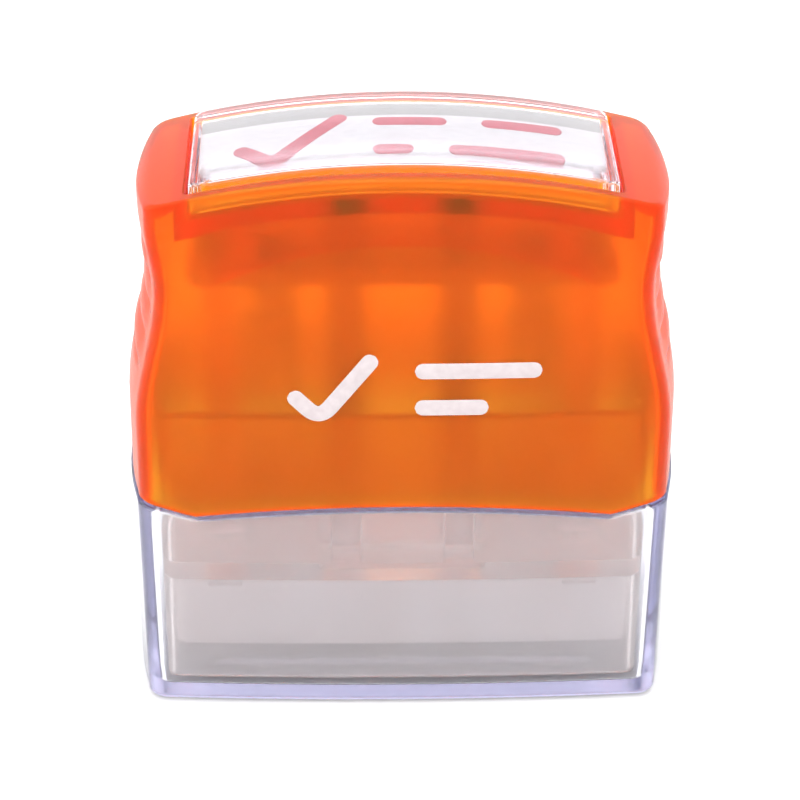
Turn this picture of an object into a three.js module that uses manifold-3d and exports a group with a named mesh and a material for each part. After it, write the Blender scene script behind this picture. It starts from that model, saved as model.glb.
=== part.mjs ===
import * as THREE from 'three';
import { mergeVertices } from 'three/addons/utils/BufferGeometryUtils.js';
import Module from 'manifold-3d';

const wasm = await Module();
wasm.setup();

// Self-inking flash stamp. Millimetres, +Z up, front towards -Y, origin under the dust cap's centre.

// ---------- driving dimensions ----------

const GAP = 0.3;                       // clearance between neighbouring pieces
const QUARTER_TURN = Math.PI / 2;
const SURFACE_TOLERANCE = 0.012;       // slivers and flat vertices under this are merged away
const OVERCUT = 3;                     // how far a cutting body reaches past the surface that it cuts

// Handle: an hourglass in front view, lightly barrelled in plan.
const HIP_HALF_WIDTH = 25.55;
const WAIST_HALF_WIDTH = 23.4;
const TOP_HALF_WIDTH = 24.1;
const HIP_Z = 31.5;                    // the hips narrow from here ...
const WAIST_Z = 45.5;                  // ... to the waist here ...
const SHOULDER_Z = 52;                 // ... and the top is widest again from here
const SIDE_BOW = 1.1;
const FRONT_BOW = 0.7;
const CORNER_RADIUS = 1.7;
const HANDLE_WALL = 1.2;
const UPPER_WALL_EXTRA = 0.8;          // the walls are thicker above the inner arch
const HIP_HALF_DEPTH = 11.6;
const TOP_HALF_DEPTH = 9.2;            // the front and back curve in towards the top
const LEAN_POWER = 1.7;

// Top: concentric arches for the window, the handle's rim and the label pocket.
const TOTAL_HEIGHT = 57.9;
const WINDOW_ARCH_RADIUS = 90.5;
const ARCH_CENTRE_Z = TOTAL_HEIGHT - WINDOW_ARCH_RADIUS;
const WINDOW_PROUD = 0.75;
const WINDOW_HEIGHT = 2.9;
const WINDOW_TOP_THICKNESS = 2.3;
const WINDOW_WALL = 0.7;
const WINDOW_HALF_WIDTH = 19.9;
const WINDOW_HALF_DEPTH = 8.2;
const WINDOW_EDGE_RADIUS = 0.25;
const INSIDE_WINDOW_HALF_WIDTH = WINDOW_HALF_WIDTH - WINDOW_WALL;
const INSIDE_WINDOW_HALF_DEPTH = WINDOW_HALF_DEPTH - WINDOW_WALL;
const CARD_THICKNESS = 0.3;
const RIM_ARCH_RADIUS = WINDOW_ARCH_RADIUS - WINDOW_PROUD;
const POCKET_ARCH_RADIUS = WINDOW_ARCH_RADIUS - WINDOW_HEIGHT - GAP;
const DECK_THICKNESS = 1.6;
const DECK_ARCH_RADIUS = POCKET_ARCH_RADIUS - DECK_THICKNESS;
const POCKET_WALL = 1.0;
const POCKET_FRONT_WALL = 0.6;
const POCKET_HALF_WIDTH = WINDOW_HALF_WIDTH + GAP;
const POCKET_HALF_DEPTH = WINDOW_HALF_DEPTH + GAP;
const POCKET_CORNER_RADIUS = 2.0;
const SHOULDER_RADIUS = 1.7;
const SHOULDER_FULLNESS = 0.4;         // how far the shoulder's control point stays under the rim arch
const INNER_ARCH_CROWN_Z = 50.2;
const INNER_ARCH_RADIUS = 48;

// Grip ridges on both ends of the handle.
const RIDGE_COUNT = 4;
const RIDGE_TOP_Z = 47.5;
const RIDGE_PITCH = 3.1;
const RIDGE_HEIGHT = 2.5;
const RIDGE_PROUD = 0.3;
const RIDGE_HALF_LENGTH = 8;

// Joint line between handle and dust cap: a shallow arch between two notches.
const RIM_CROWN_Z = 23.0;
const RIM_NOTCH_Z = 21.7;
const RIM_NOTCH_X = 20.2;
const RIM_CORNER_Z = 23.4;

// Dust cap.
const CAP_BASE_HALF_WIDTH = 25.5;
const CAP_BASE_HALF_DEPTH = 11.4;
const CAP_WALL = 1.3;
const CAP_FLOOR = 1.6;
const CAP_EDGE_RADIUS = 1.0;
const CAP_TRAY_RISE = 0.5;
const CAP_TRAY_CORNER_RADIUS = 1.0;
const CAP_SIDE_DRAFT = 0.012;
const CAP_FRONT_DRAFT = 0.012;

// Skirt: the sliding foot of the stamp. It rises into the handle when the stamp is pressed.
const SKIRT_FOOT_Z = CAP_FLOOR + GAP;
const SKIRT_TOP_Z = 32.2;
const SKIRT_HALF_WIDTH = 23.7;
const SKIRT_HALF_DEPTH = 9.5;
const SKIRT_SIDE_BOW = 0.7;
const SKIRT_FRONT_BOW = 0.5;
const SKIRT_CORNER_RADIUS = 1.6;
const SKIRT_WALL = 0.9;

// Die mount, just under the skirt's shelf, which rests on it when the springs are out.
const MOUNT_BOTTOM_Z = 5.5;
const MOUNT_TOP_Z = 13.1;
const MOUNT_HALF_WIDTH = 22.4;
const MOUNT_HALF_DEPTH = 8.2;
const MOUNT_FRONT_BOW = 0.4;
const MOUNT_CORNER_RADIUS = 1.0;
const MOUNT_WALL = 1.2;
const NOTCH_HEIGHT = 0.7;
const NOTCH_DEPTH = 0.5;
const NOTCH_BOTTOM_Z = MOUNT_TOP_Z - NOTCH_HEIGHT;
const TRAY_HALF_WIDTH = MOUNT_HALF_WIDTH - MOUNT_WALL;
const TRAY_HALF_DEPTH = MOUNT_HALF_DEPTH - MOUNT_WALL;
const SHELF_BOTTOM_Z = MOUNT_TOP_Z + GAP;
const SHELF_TOP_Z = SHELF_BOTTOM_Z + 2.0;
const SHELF_WINDOW_HALF_WIDTH = 8.2;
const SHELF_WINDOW_HALF_DEPTH = 5.5;

// Inked parts inside the mount, from the bottom up: bezel, die, sponge.
const PAD_HALF_WIDTH = TRAY_HALF_WIDTH - GAP;
const PAD_HALF_DEPTH = TRAY_HALF_DEPTH - GAP;
const DIE_FACE_Z = 4.9;
const DIE_FACE_HALF_WIDTH = 19.8;
const DIE_FACE_HALF_DEPTH = 5.6;
const BEZEL_BOTTOM_Z = 5.6;
const DIE_FLANGE_BOTTOM_Z = 7.3;
const DIE_FLANGE_TOP_Z = 9.4;
const SPONGE_BOTTOM_Z = DIE_FLANGE_TOP_Z + GAP;
const SPONGE_TOP_Z = MOUNT_TOP_Z - MOUNT_WALL - GAP;

// Carrier that hangs the die mount from the handle's deck.
const CARRIER_PLATE_BOTTOM_Z = 45;
const CARRIER_PLATE_TOP_Z = 46.5;
const CARRIER_HALF_WIDTH = 20.3;
const CARRIER_HALF_DEPTH = 7.3;
const LEG_X = 17.5;
const LEG_HALF_WIDTH = 1.7;
const LEG_HALF_DEPTH = 3.0;
const LEG_FOOT_Z = SPONGE_TOP_Z + 2 * GAP;
const STANDOFF_X = 15;
const STANDOFF_Y = 4.5;
const STANDOFF_RADIUS = 1.3;

// Refill tubes and their plugs, under the label.
const TUBE_X = 5.5;
const TUBE_RADIUS = 1.8;
const TUBE_BORE = 1.2;
const PLUG_HEAD_RADIUS = 2.1;
const PLUG_HEAD_SUNK = 0.45;
const PLUG_HEAD_THICKNESS = 0.5;
const PLUG_HEAD_TOP_Z = ARCH_CENTRE_Z + POCKET_ARCH_RADIUS - PLUG_HEAD_SUNK;
const PLUG_HEAD_BOTTOM_Z = PLUG_HEAD_TOP_Z - PLUG_HEAD_THICKNESS;
const PLUG_STEM_LENGTH = 2.6;

// Return springs, guided by pegs on the shelf below and posts on the carrier above.
const SPRING_X = 12.5;
const SPRING_RADIUS = 2.5;
const SPRING_BORE = 1.8;
const SPRING_POST_RADIUS = 1.4;
const SPRING_POST_END_Z = 35;
const SPRING_PEG_TOP_Z = SHELF_TOP_Z + 4;

// Guide ribs inside the skirt's front and back walls.
const RIB_HALF_WIDTH = 1.5;
const RIB_HALF_DEPTH = 0.7;
const RIB_TOP_Z = SKIRT_TOP_Z - 1.2;

// ---------- geometry helpers ----------

/** A closed three.js geometry as a manifold solid. */
function solid(geometry) {
  const bare = geometry.clone();
  bare.deleteAttribute('normal');
  bare.deleteAttribute('uv');
  const welded = mergeVertices(bare, 1e-4);
  return new wasm.Manifold(new wasm.Mesh({
    numProp: 3,
    vertProperties: new Float32Array(welded.attributes.position.array),
    triVerts: new Uint32Array(welded.index.array),
  }));
}

/** A named mesh with its own material, from a manifold solid. */
function piece(name, body, colour, roughness, options = {}) {
  const result = body.simplify(SURFACE_TOLERANCE).getMesh();
  const geometry = new THREE.BufferGeometry();
  geometry.setAttribute('position', new THREE.BufferAttribute(new Float32Array(result.vertProperties), 3));
  geometry.setIndex(new THREE.BufferAttribute(new Uint32Array(result.triVerts), 1));
  geometry.computeVertexNormals();
  const material = new THREE.MeshStandardMaterial({ color: colour, roughness, metalness: 0, ...options });
  const mesh = new THREE.Mesh(geometry, material);
  mesh.name = name;
  return mesh;
}

function unite(bodies) {
  return bodies.reduce((whole, body) => whole.add(body));
}

/** Every body moved to each side of the X = 0 plane. */
function onBothSides(makeAtX) {
  return unite([makeAtX(-1), makeAtX(1)]);
}

/** Box from its centre in plan, its half sizes and its lowest and highest level. */
function block(x, y, halfWidth, halfDepth, bottom, top) {
  const geometry = new THREE.BoxGeometry(2 * halfWidth, 2 * halfDepth, top - bottom);
  geometry.translate(x, y, (bottom + top) / 2);
  return solid(geometry);
}

/** Upright round bar. */
function bar(x, y, radius, bottom, top, sides = 20) {
  const geometry = new THREE.CylinderGeometry(radius, radius, top - bottom, sides);
  geometry.rotateX(QUARTER_TURN);
  geometry.translate(x, y, (bottom + top) / 2);
  return solid(geometry);
}

/** A front-view outline (x, z) extruded along Y over plus and minus halfDepth. */
function frontExtrude(outline, halfDepth, { steps = 1, curveSegments = 10, bevel = 0 } = {}) {
  const geometry = new THREE.ExtrudeGeometry(outline, {
    depth: 2 * (halfDepth - bevel),
    steps,
    curveSegments,
    bevelEnabled: bevel > 0,
    bevelThickness: bevel,
    bevelSize: bevel,
    bevelOffset: -bevel,
    bevelSegments: 2,
  });
  geometry.translate(0, 0, bevel - halfDepth);
  geometry.rotateX(QUARTER_TURN);
  return geometry;
}

/** Swells a front-view extrusion sideways towards its middle depth, as the handle's ends do. */
function bowSides(geometry) {
  const position = geometry.attributes.position;
  for (let i = 0; i < position.count; i += 1) {
    const x = position.getX(i);
    const across = position.getY(i) / HIP_HALF_DEPTH;
    position.setX(i, x + Math.sign(x) * SIDE_BOW * (1 - across * across));
  }
  return geometry;
}

/** Plan outline with rounded corners whose four edges swell outwards to their middles. */
function barrelPlan(halfWidth, halfDepth, sideBow, frontBow, radius) {
  const x = halfWidth - radius;
  const y = halfDepth - radius;
  const plan = new THREE.Shape();
  plan.absarc(x, -y, radius, -QUARTER_TURN, 0, false);
  plan.quadraticCurveTo(halfWidth + 2 * sideBow, 0, halfWidth, y);
  plan.absarc(x, y, radius, 0, QUARTER_TURN, false);
  plan.quadraticCurveTo(0, halfDepth + 2 * frontBow, -x, halfDepth);
  plan.absarc(-x, y, radius, QUARTER_TURN, 2 * QUARTER_TURN, false);
  plan.quadraticCurveTo(-halfWidth - 2 * sideBow, 0, -halfWidth, -y);
  plan.absarc(-x, -y, radius, 2 * QUARTER_TURN, 3 * QUARTER_TURN, false);
  plan.quadraticCurveTo(0, -halfDepth - 2 * frontBow, x, -halfDepth);
  return plan;
}

/** A plan outline raised between two levels; each level can be resized about the Z axis. */
function tower(plan, bottom, top, { steps = 1, curveSegments = 6, resize = null, bevel = 0 } = {}) {
  const geometry = new THREE.ExtrudeGeometry(plan, {
    depth: top - bottom - 2 * bevel,
    steps,
    curveSegments,
    bevelEnabled: bevel > 0,
    bevelThickness: bevel,
    bevelSize: bevel,
    bevelOffset: -bevel,
    bevelSegments: 3,
  });
  geometry.translate(0, 0, bottom + bevel);
  if (resize) {
    const position = geometry.attributes.position;
    for (let i = 0; i < position.count; i += 1) {
      const [alongX, alongY] = resize(position.getZ(i));
      position.setX(i, position.getX(i) * alongX);
      position.setY(i, position.getY(i) * alongY);
    }
  }
  return solid(geometry);
}

/** Everything under an arch of the given radius and crown, out to halfWidth and down to floorZ. */
function underArch(radius, crownZ, halfWidth, floorZ) {
  const spread = Math.asin(halfWidth / radius);
  const outline = new THREE.Shape();
  outline.moveTo(-halfWidth, floorZ);
  outline.lineTo(halfWidth, floorZ);
  outline.absarc(0, crownZ - radius, radius, QUARTER_TURN - spread, QUARTER_TURN + spread, false);
  return outline;
}

/** Everything between two concentric top arches, out to halfWidth. */
function betweenArches(innerRadius, outerRadius, halfWidth) {
  const innerSpread = Math.asin(halfWidth / innerRadius);
  const outerSpread = Math.asin(halfWidth / outerRadius);
  const outline = new THREE.Shape();
  const arc = (radius, from, to, clockwise) => (
    outline.absarc(0, ARCH_CENTRE_Z, radius, QUARTER_TURN + from, QUARTER_TURN + to, clockwise)
  );
  arc(outerRadius, -outerSpread, outerSpread, false);
  arc(innerRadius, innerSpread, -innerSpread, true);
  return outline;
}

/** Level of a top arch at a distance x from the middle. */
function archLevel(radius, x) {
  return ARCH_CENTRE_Z + Math.sqrt(radius * radius - x * x);
}

// ---------- the handle's form ----------

/** Half width of the handle at level z: wide hips, a narrow waist and a slightly wider top. */
function handleHalfWidth(z) {
  const narrowing = THREE.MathUtils.smoothstep(z, HIP_Z, WAIST_Z) * (HIP_HALF_WIDTH - WAIST_HALF_WIDTH);
  const widening = THREE.MathUtils.smoothstep(z, WAIST_Z, SHOULDER_Z) * (TOP_HALF_WIDTH - WAIST_HALF_WIDTH);
  return HIP_HALF_WIDTH - narrowing + widening;
}

/** Half depth of the handle at level z: the front and back lean in more and more towards the top. */
function handleHalfDepth(z) {
  const climb = THREE.MathUtils.clamp((z - RIM_CORNER_Z) / (TOTAL_HEIGHT - RIM_CORNER_Z), 0, 1);
  return THREE.MathUtils.lerp(HIP_HALF_DEPTH, TOP_HALF_DEPTH, climb ** LEAN_POWER);
}

const HANDLE_LOWEST_Z = 20;
const HANDLE_LEVELS = 14;

/** The handle's body shrunk inwards by an inset, before its rim and top are cut. */
function handleForm(sideInset, frontInset) {
  const radius = Math.max(CORNER_RADIUS - sideInset, 0.6);
  const halfWidth = HIP_HALF_WIDTH - sideInset;
  const halfDepth = HIP_HALF_DEPTH - frontInset;
  const plan = barrelPlan(halfWidth, halfDepth, SIDE_BOW, FRONT_BOW, radius);
  const resize = (z) => [
    (handleHalfWidth(z) - sideInset) / halfWidth,
    (handleHalfDepth(z) - frontInset) / halfDepth,
  ];
  return tower(plan, HANDLE_LOWEST_Z, TOTAL_HEIGHT, { steps: HANDLE_LEVELS, curveSegments: 4, resize });
}

/** Front-view outline under the handle's top, with its rounded shoulders. It clears the hips and waist. */
function handleTopOutline() {
  const outside = HIP_HALF_WIDTH + OVERCUT;
  const archEndX = TOP_HALF_WIDTH - SHOULDER_RADIUS;
  const archEndZ = archLevel(RIM_ARCH_RADIUS, archEndX);
  const controlZ = archEndZ - SHOULDER_FULLNESS;
  const spread = Math.asin(archEndX / RIM_ARCH_RADIUS);
  const outline = new THREE.Shape();
  outline.moveTo(-outside, 0);
  outline.lineTo(outside, 0);
  outline.lineTo(outside, HIP_Z);
  outline.lineTo(TOP_HALF_WIDTH, WAIST_Z);
  outline.lineTo(TOP_HALF_WIDTH, archEndZ - SHOULDER_RADIUS);
  outline.quadraticCurveTo(TOP_HALF_WIDTH, controlZ, archEndX, archEndZ);
  outline.absarc(0, ARCH_CENTRE_Z, RIM_ARCH_RADIUS, QUARTER_TURN - spread, QUARTER_TURN + spread, false);
  outline.quadraticCurveTo(-TOP_HALF_WIDTH, controlZ, -TOP_HALF_WIDTH, archEndZ - SHOULDER_RADIUS);
  outline.lineTo(-TOP_HALF_WIDTH, WAIST_Z);
  outline.lineTo(-outside, HIP_Z);
  return outline;
}

/** Front-view region below the joint line, raised by a clearance. */
function belowJointLine(raise) {
  const outside = HIP_HALF_WIDTH + OVERCUT;
  const cornerZ = RIM_CORNER_Z + raise;
  const notchZ = RIM_NOTCH_Z + raise;
  const archControlZ = 2 * (RIM_CROWN_Z + raise) - notchZ;
  const outline = new THREE.Shape();
  outline.moveTo(-outside, -OVERCUT);
  outline.lineTo(outside, -OVERCUT);
  outline.lineTo(outside, cornerZ);
  outline.lineTo(HIP_HALF_WIDTH, cornerZ);
  outline.lineTo(RIM_NOTCH_X, notchZ);
  outline.quadraticCurveTo(0, archControlZ, -RIM_NOTCH_X, notchZ);
  outline.lineTo(-HIP_HALF_WIDTH, cornerZ);
  outline.lineTo(-outside, cornerZ);
  return solid(frontExtrude(outline, HIP_HALF_DEPTH + OVERCUT));
}

/** Bars that run front to back along one end of the handle, side being -1 or 1. */
function gripRidges(side) {
  const ridges = [];
  for (let i = 0; i < RIDGE_COUNT; i += 1) {
    const z = RIDGE_TOP_Z - i * RIDGE_PITCH;
    const root = handleHalfWidth(z) - HANDLE_WALL / 2;
    const crest = handleHalfWidth(z) + RIDGE_PROUD;
    const outline = new THREE.Shape();
    outline.moveTo(side * root, z - RIDGE_HEIGHT / 2);
    outline.quadraticCurveTo(side * crest, z - RIDGE_HEIGHT / 2, side * crest, z - RIDGE_HEIGHT / 6);
    outline.lineTo(side * crest, z);
    outline.quadraticCurveTo(side * crest, z + RIDGE_HEIGHT / 4, side * root, z + RIDGE_HEIGHT / 2);
    const ridge = frontExtrude(outline, RIDGE_HALF_LENGTH, { steps: 6, curveSegments: 3 });
    ridges.push(solid(bowSides(ridge)));
  }
  return unite(ridges);
}

// ---------- pieces fixed to the handle ----------

/** The handle's hollow: shallower above the inner arch, where the front and back walls are thicker. */
function handleCavity() {
  const roofRadius = RIM_ARCH_RADIUS - HANDLE_WALL;
  const reach = HIP_HALF_WIDTH + OVERCUT;
  const deep = HIP_HALF_DEPTH + OVERCUT;
  const under = (radius, crownZ) => solid(frontExtrude(underArch(radius, crownZ, reach, 0), deep));
  const underInnerArch = under(INNER_ARCH_RADIUS, INNER_ARCH_CROWN_Z);
  const underRoof = under(roofRadius, archLevel(roofRadius, 0));
  const lower = handleForm(HANDLE_WALL, HANDLE_WALL).intersect(underInnerArch);
  const upper = handleForm(HANDLE_WALL, HANDLE_WALL + UPPER_WALL_EXTRA).intersect(underRoof);
  return lower.add(upper);
}

/** The walled deck that carries the label and the window. */
function pocketBox() {
  const halfWidth = POCKET_HALF_WIDTH + POCKET_WALL;
  const halfDepth = POCKET_HALF_DEPTH + POCKET_FRONT_WALL;
  const arches = solid(frontExtrude(betweenArches(DECK_ARCH_RADIUS, RIM_ARCH_RADIUS, halfWidth), halfDepth));
  const rounded = tower(barrelPlan(halfWidth, halfDepth, 0, 0, POCKET_CORNER_RADIUS), WAIST_Z, TOTAL_HEIGHT);
  return arches.intersect(rounded);
}

function handleShell() {
  const topForm = frontExtrude(handleTopOutline(), HIP_HALF_DEPTH + OVERCUT, { steps: 8, curveSegments: 10 });
  const top = solid(bowSides(topForm));
  const outer = handleForm(0, 0).intersect(top);
  const pocketArches = betweenArches(POCKET_ARCH_RADIUS, WINDOW_ARCH_RADIUS + OVERCUT, POCKET_HALF_WIDTH);
  const pocket = solid(frontExtrude(pocketArches, POCKET_HALF_DEPTH));
  const refillHoles = onBothSides((side) => (
    bar(side * TUBE_X, 0, PLUG_HEAD_RADIUS + GAP, PLUG_HEAD_BOTTOM_Z - GAP, TOTAL_HEIGHT)
      .add(bar(side * TUBE_X, 0, TUBE_BORE, WAIST_Z, TOTAL_HEIGHT))
  ));
  const shell = outer
    .add(onBothSides(gripRidges))
    .subtract(handleCavity())
    .add(pocketBox())
    .subtract(pocket)
    .subtract(refillHoles)
    .subtract(belowJointLine(GAP));
  return piece('handle_shell', shell, 0xf56a1e, 0.32);
}

function labelCard() {
  const underside = POCKET_ARCH_RADIUS + GAP;
  const arches = betweenArches(underside, underside + CARD_THICKNESS, INSIDE_WINDOW_HALF_WIDTH - GAP);
  return piece('label_card', solid(frontExtrude(arches, INSIDE_WINDOW_HALF_DEPTH - GAP)), 0xf4f1f0, 0.8);
}

function refillPlug(name, side) {
  const head = bar(side * TUBE_X, 0, PLUG_HEAD_RADIUS, PLUG_HEAD_BOTTOM_Z, PLUG_HEAD_TOP_Z);
  const stem = bar(side * TUBE_X, 0, TUBE_BORE - GAP, PLUG_HEAD_BOTTOM_Z - PLUG_STEM_LENGTH, PLUG_HEAD_TOP_Z);
  return piece(name, head.add(stem), 0x55555a, 0.7);
}

/** Hangs the die mount from the deck: plate, two legs, two refill tubes, spring posts, standoffs. */
function innerCarrier() {
  const plate = block(
    0, 0, CARRIER_HALF_WIDTH, CARRIER_HALF_DEPTH, CARRIER_PLATE_BOTTOM_Z, CARRIER_PLATE_TOP_Z,
  );
  const tubeTop = archLevel(DECK_ARCH_RADIUS, TUBE_X + TUBE_RADIUS) - GAP;
  const tubeBottom = MOUNT_TOP_Z + GAP;
  const standoffTop = archLevel(DECK_ARCH_RADIUS, STANDOFF_X + STANDOFF_RADIUS) - GAP;
  const legs = onBothSides((side) => (
    block(side * LEG_X, 0, LEG_HALF_WIDTH, LEG_HALF_DEPTH, LEG_FOOT_Z, CARRIER_PLATE_TOP_Z)
  ));
  const posts = onBothSides((side) => (
    bar(side * SPRING_X, 0, SPRING_POST_RADIUS, SPRING_POST_END_Z, CARRIER_PLATE_TOP_Z)
  ));
  const tubes = onBothSides((side) => bar(side * TUBE_X, 0, TUBE_RADIUS, tubeBottom, tubeTop));
  const bores = onBothSides((side) => (
    bar(side * TUBE_X, 0, TUBE_BORE, tubeBottom - OVERCUT, tubeTop + OVERCUT)
  ));
  const standoffs = onBothSides((side) => (
    bar(side * STANDOFF_X, -STANDOFF_Y, STANDOFF_RADIUS, CARRIER_PLATE_BOTTOM_Z, standoffTop)
      .add(bar(side * STANDOFF_X, STANDOFF_Y, STANDOFF_RADIUS, CARRIER_PLATE_BOTTOM_Z, standoffTop))
  ));
  const carrier = unite([plate, legs, posts, tubes, standoffs]).subtract(bores);
  return piece('inner_carrier', carrier, 0xf3ece6, 0.45);
}

/** White tray, open downwards, that clips on the carrier's legs and holds the inked parts. */
function dieMount() {
  const plan = barrelPlan(
    MOUNT_HALF_WIDTH, MOUNT_HALF_DEPTH, SKIRT_SIDE_BOW, MOUNT_FRONT_BOW, MOUNT_CORNER_RADIUS,
  );
  const outside = tower(plan, MOUNT_BOTTOM_Z, MOUNT_TOP_Z, { curveSegments: 4 });
  const roof = MOUNT_TOP_Z - MOUNT_WALL;
  const top = MOUNT_TOP_Z + OVERCUT;
  const inside = block(0, 0, TRAY_HALF_WIDTH, TRAY_HALF_DEPTH, MOUNT_BOTTOM_Z - OVERCUT, roof);
  const legSlots = onBothSides((side) => (
    block(side * LEG_X, 0, LEG_HALF_WIDTH + GAP, LEG_HALF_DEPTH + GAP, roof - OVERCUT, top)
  ));
  const inkHoles = onBothSides((side) => bar(side * TUBE_X, 0, TUBE_BORE, roof - OVERCUT, top));
  const notches = onBothSides((side) => (
    block(side * LEG_X, -MOUNT_HALF_DEPTH, LEG_HALF_WIDTH, NOTCH_DEPTH, NOTCH_BOTTOM_Z, top)
      .add(block(side * LEG_X, MOUNT_HALF_DEPTH, LEG_HALF_WIDTH, NOTCH_DEPTH, NOTCH_BOTTOM_Z, top))
  ));
  const mount = outside.subtract(inside).subtract(legSlots).subtract(inkHoles).subtract(notches);
  return piece('die_mount', mount, 0xe9e8ec, 0.4);
}

function inkSponge() {
  const sponge = block(0, 0, PAD_HALF_WIDTH, PAD_HALF_DEPTH, SPONGE_BOTTOM_Z, SPONGE_TOP_Z);
  return piece('ink_sponge', sponge, 0xa8344a, 0.95);
}

/** Microporous stamping die: a flange held by the bezel and the face that prints. */
function flashDie() {
  const flange = block(0, 0, PAD_HALF_WIDTH, PAD_HALF_DEPTH, DIE_FLANGE_BOTTOM_Z, DIE_FLANGE_TOP_Z);
  const face = block(0, 0, DIE_FACE_HALF_WIDTH, DIE_FACE_HALF_DEPTH, DIE_FACE_Z, DIE_FLANGE_TOP_Z);
  return piece('flash_die', flange.add(face), 0x8f3040, 0.85);
}

function dieBezel() {
  const frame = block(0, 0, PAD_HALF_WIDTH, PAD_HALF_DEPTH, BEZEL_BOTTOM_Z, DIE_FLANGE_BOTTOM_Z - GAP);
  const opening = block(
    0, 0, DIE_FACE_HALF_WIDTH + GAP, DIE_FACE_HALF_DEPTH + GAP, BEZEL_BOTTOM_Z - OVERCUT, DIE_FLANGE_BOTTOM_Z,
  );
  return piece('die_bezel', frame.subtract(opening), 0xdedee2, 0.4);
}

// ---------- pieces that move ----------

/** The stamp's foot: a barrel-sided sleeve with a shelf for the springs and guide ribs above it. */
function skirt() {
  const sleeve = (inset, bottom, top) => {
    const halfWidth = SKIRT_HALF_WIDTH - inset;
    const halfDepth = SKIRT_HALF_DEPTH - inset;
    const radius = SKIRT_CORNER_RADIUS - inset;
    const plan = barrelPlan(halfWidth, halfDepth, SKIRT_SIDE_BOW, SKIRT_FRONT_BOW, radius);
    return tower(plan, bottom, top, { curveSegments: 4 });
  };
  const wall = sleeve(0, SKIRT_FOOT_Z, SKIRT_TOP_Z)
    .subtract(sleeve(SKIRT_WALL, SKIRT_FOOT_Z - OVERCUT, SKIRT_TOP_Z + OVERCUT));
  const cutBottom = SHELF_BOTTOM_Z - OVERCUT;
  const cutTop = SHELF_TOP_Z + OVERCUT;
  const tubeWindow = block(0, 0, SHELF_WINDOW_HALF_WIDTH, SHELF_WINDOW_HALF_DEPTH, cutBottom, cutTop);
  const legWindows = onBothSides((side) => (
    block(side * LEG_X, 0, LEG_HALF_WIDTH + 2 * GAP, LEG_HALF_DEPTH + 2 * GAP, cutBottom, cutTop)
  ));
  const shelf = sleeve(SKIRT_WALL / 2, SHELF_BOTTOM_Z, SHELF_TOP_Z).subtract(tubeWindow).subtract(legWindows);
  const pegs = onBothSides((side) => (
    bar(side * SPRING_X, 0, SPRING_POST_RADIUS, SHELF_BOTTOM_Z, SPRING_PEG_TOP_Z)
  ));
  const ribY = SKIRT_HALF_DEPTH - SKIRT_WALL;
  const ribs = onBothSides((side) => (
    block(side * TUBE_X, -ribY, RIB_HALF_WIDTH, RIB_HALF_DEPTH, SHELF_BOTTOM_Z, RIB_TOP_Z)
      .add(block(side * TUBE_X, ribY, RIB_HALF_WIDTH, RIB_HALF_DEPTH, SHELF_BOTTOM_Z, RIB_TOP_Z))
  ));
  return piece('skirt', unite([wall, shelf, pegs, ribs]), 0xe4dcda, 0.3);
}

function returnSpring(name, side) {
  const bottom = SHELF_TOP_Z + GAP;
  const top = CARRIER_PLATE_BOTTOM_Z - GAP;
  const coil = bar(side * SPRING_X, 0, SPRING_RADIUS, bottom, top, 24)
    .subtract(bar(side * SPRING_X, 0, SPRING_BORE, bottom - OVERCUT, top + OVERCUT, 24));
  return piece(name, coil, 0xb9bcc2, 0.3, { metalness: 1 });
}

/** Clear cover, open below, over the label. */
function windowLens() {
  const lowest = WINDOW_ARCH_RADIUS - WINDOW_HEIGHT;
  const outline = betweenArches(lowest, WINDOW_ARCH_RADIUS, WINDOW_HALF_WIDTH);
  const ceiling = WINDOW_ARCH_RADIUS - WINDOW_TOP_THICKNESS;
  const hollow = betweenArches(lowest - OVERCUT, ceiling, INSIDE_WINDOW_HALF_WIDTH);
  const outside = solid(frontExtrude(outline, WINDOW_HALF_DEPTH, { bevel: WINDOW_EDGE_RADIUS }));
  const lens = outside.subtract(solid(frontExtrude(hollow, INSIDE_WINDOW_HALF_DEPTH)));
  return piece('window_lens', lens, 0xf1eff1, 0.08);
}

/** Clear cap under the stamp; its rim meets the handle along the joint line. */
function dustCap() {
  const form = (inset, bottom, radius, edge) => {
    const halfWidth = CAP_BASE_HALF_WIDTH - inset;
    const halfDepth = CAP_BASE_HALF_DEPTH - inset;
    const plan = barrelPlan(halfWidth, halfDepth, SIDE_BOW, FRONT_BOW, radius);
    const resize = (z) => [
      1 + CAP_SIDE_DRAFT * z / halfWidth,
      1 + CAP_FRONT_DRAFT * z / halfDepth,
    ];
    return tower(plan, bottom, HIP_Z, { curveSegments: 5, resize, bevel: edge });
  };
  const hollow = form(CAP_WALL, CAP_FLOOR, CORNER_RADIUS - CAP_WALL / 2, CAP_WALL / 4);
  const trayPlan = barrelPlan(DIE_FACE_HALF_WIDTH, DIE_FACE_HALF_DEPTH, 0, 0, CAP_TRAY_CORNER_RADIUS);
  const tray = tower(trayPlan, CAP_FLOOR / 2, CAP_FLOOR + CAP_TRAY_RISE);
  const cap = form(0, 0, CORNER_RADIUS, CAP_EDGE_RADIUS)
    .subtract(hollow)
    .add(tray)
    .intersect(belowJointLine(0));
  return piece('dust_cap', cap, 0xdcd8e4, 0.08);
}

const stamp = new THREE.Group();
stamp.name = 'self_inking_stamp';
stamp.add(
  handleShell(),
  windowLens(),
  labelCard(),
  refillPlug('refill_plug_left', -1),
  refillPlug('refill_plug_right', 1),
  innerCarrier(),
  dieMount(),
  inkSponge(),
  flashDie(),
  dieBezel(),
  skirt(),
  returnSpring('return_spring_left', -1),
  returnSpring('return_spring_right', 1),
  dustCap(),
);

export default stamp;
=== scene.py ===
import math

import bmesh
import bpy
import numpy as np
from mathutils import Matrix, Vector


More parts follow.
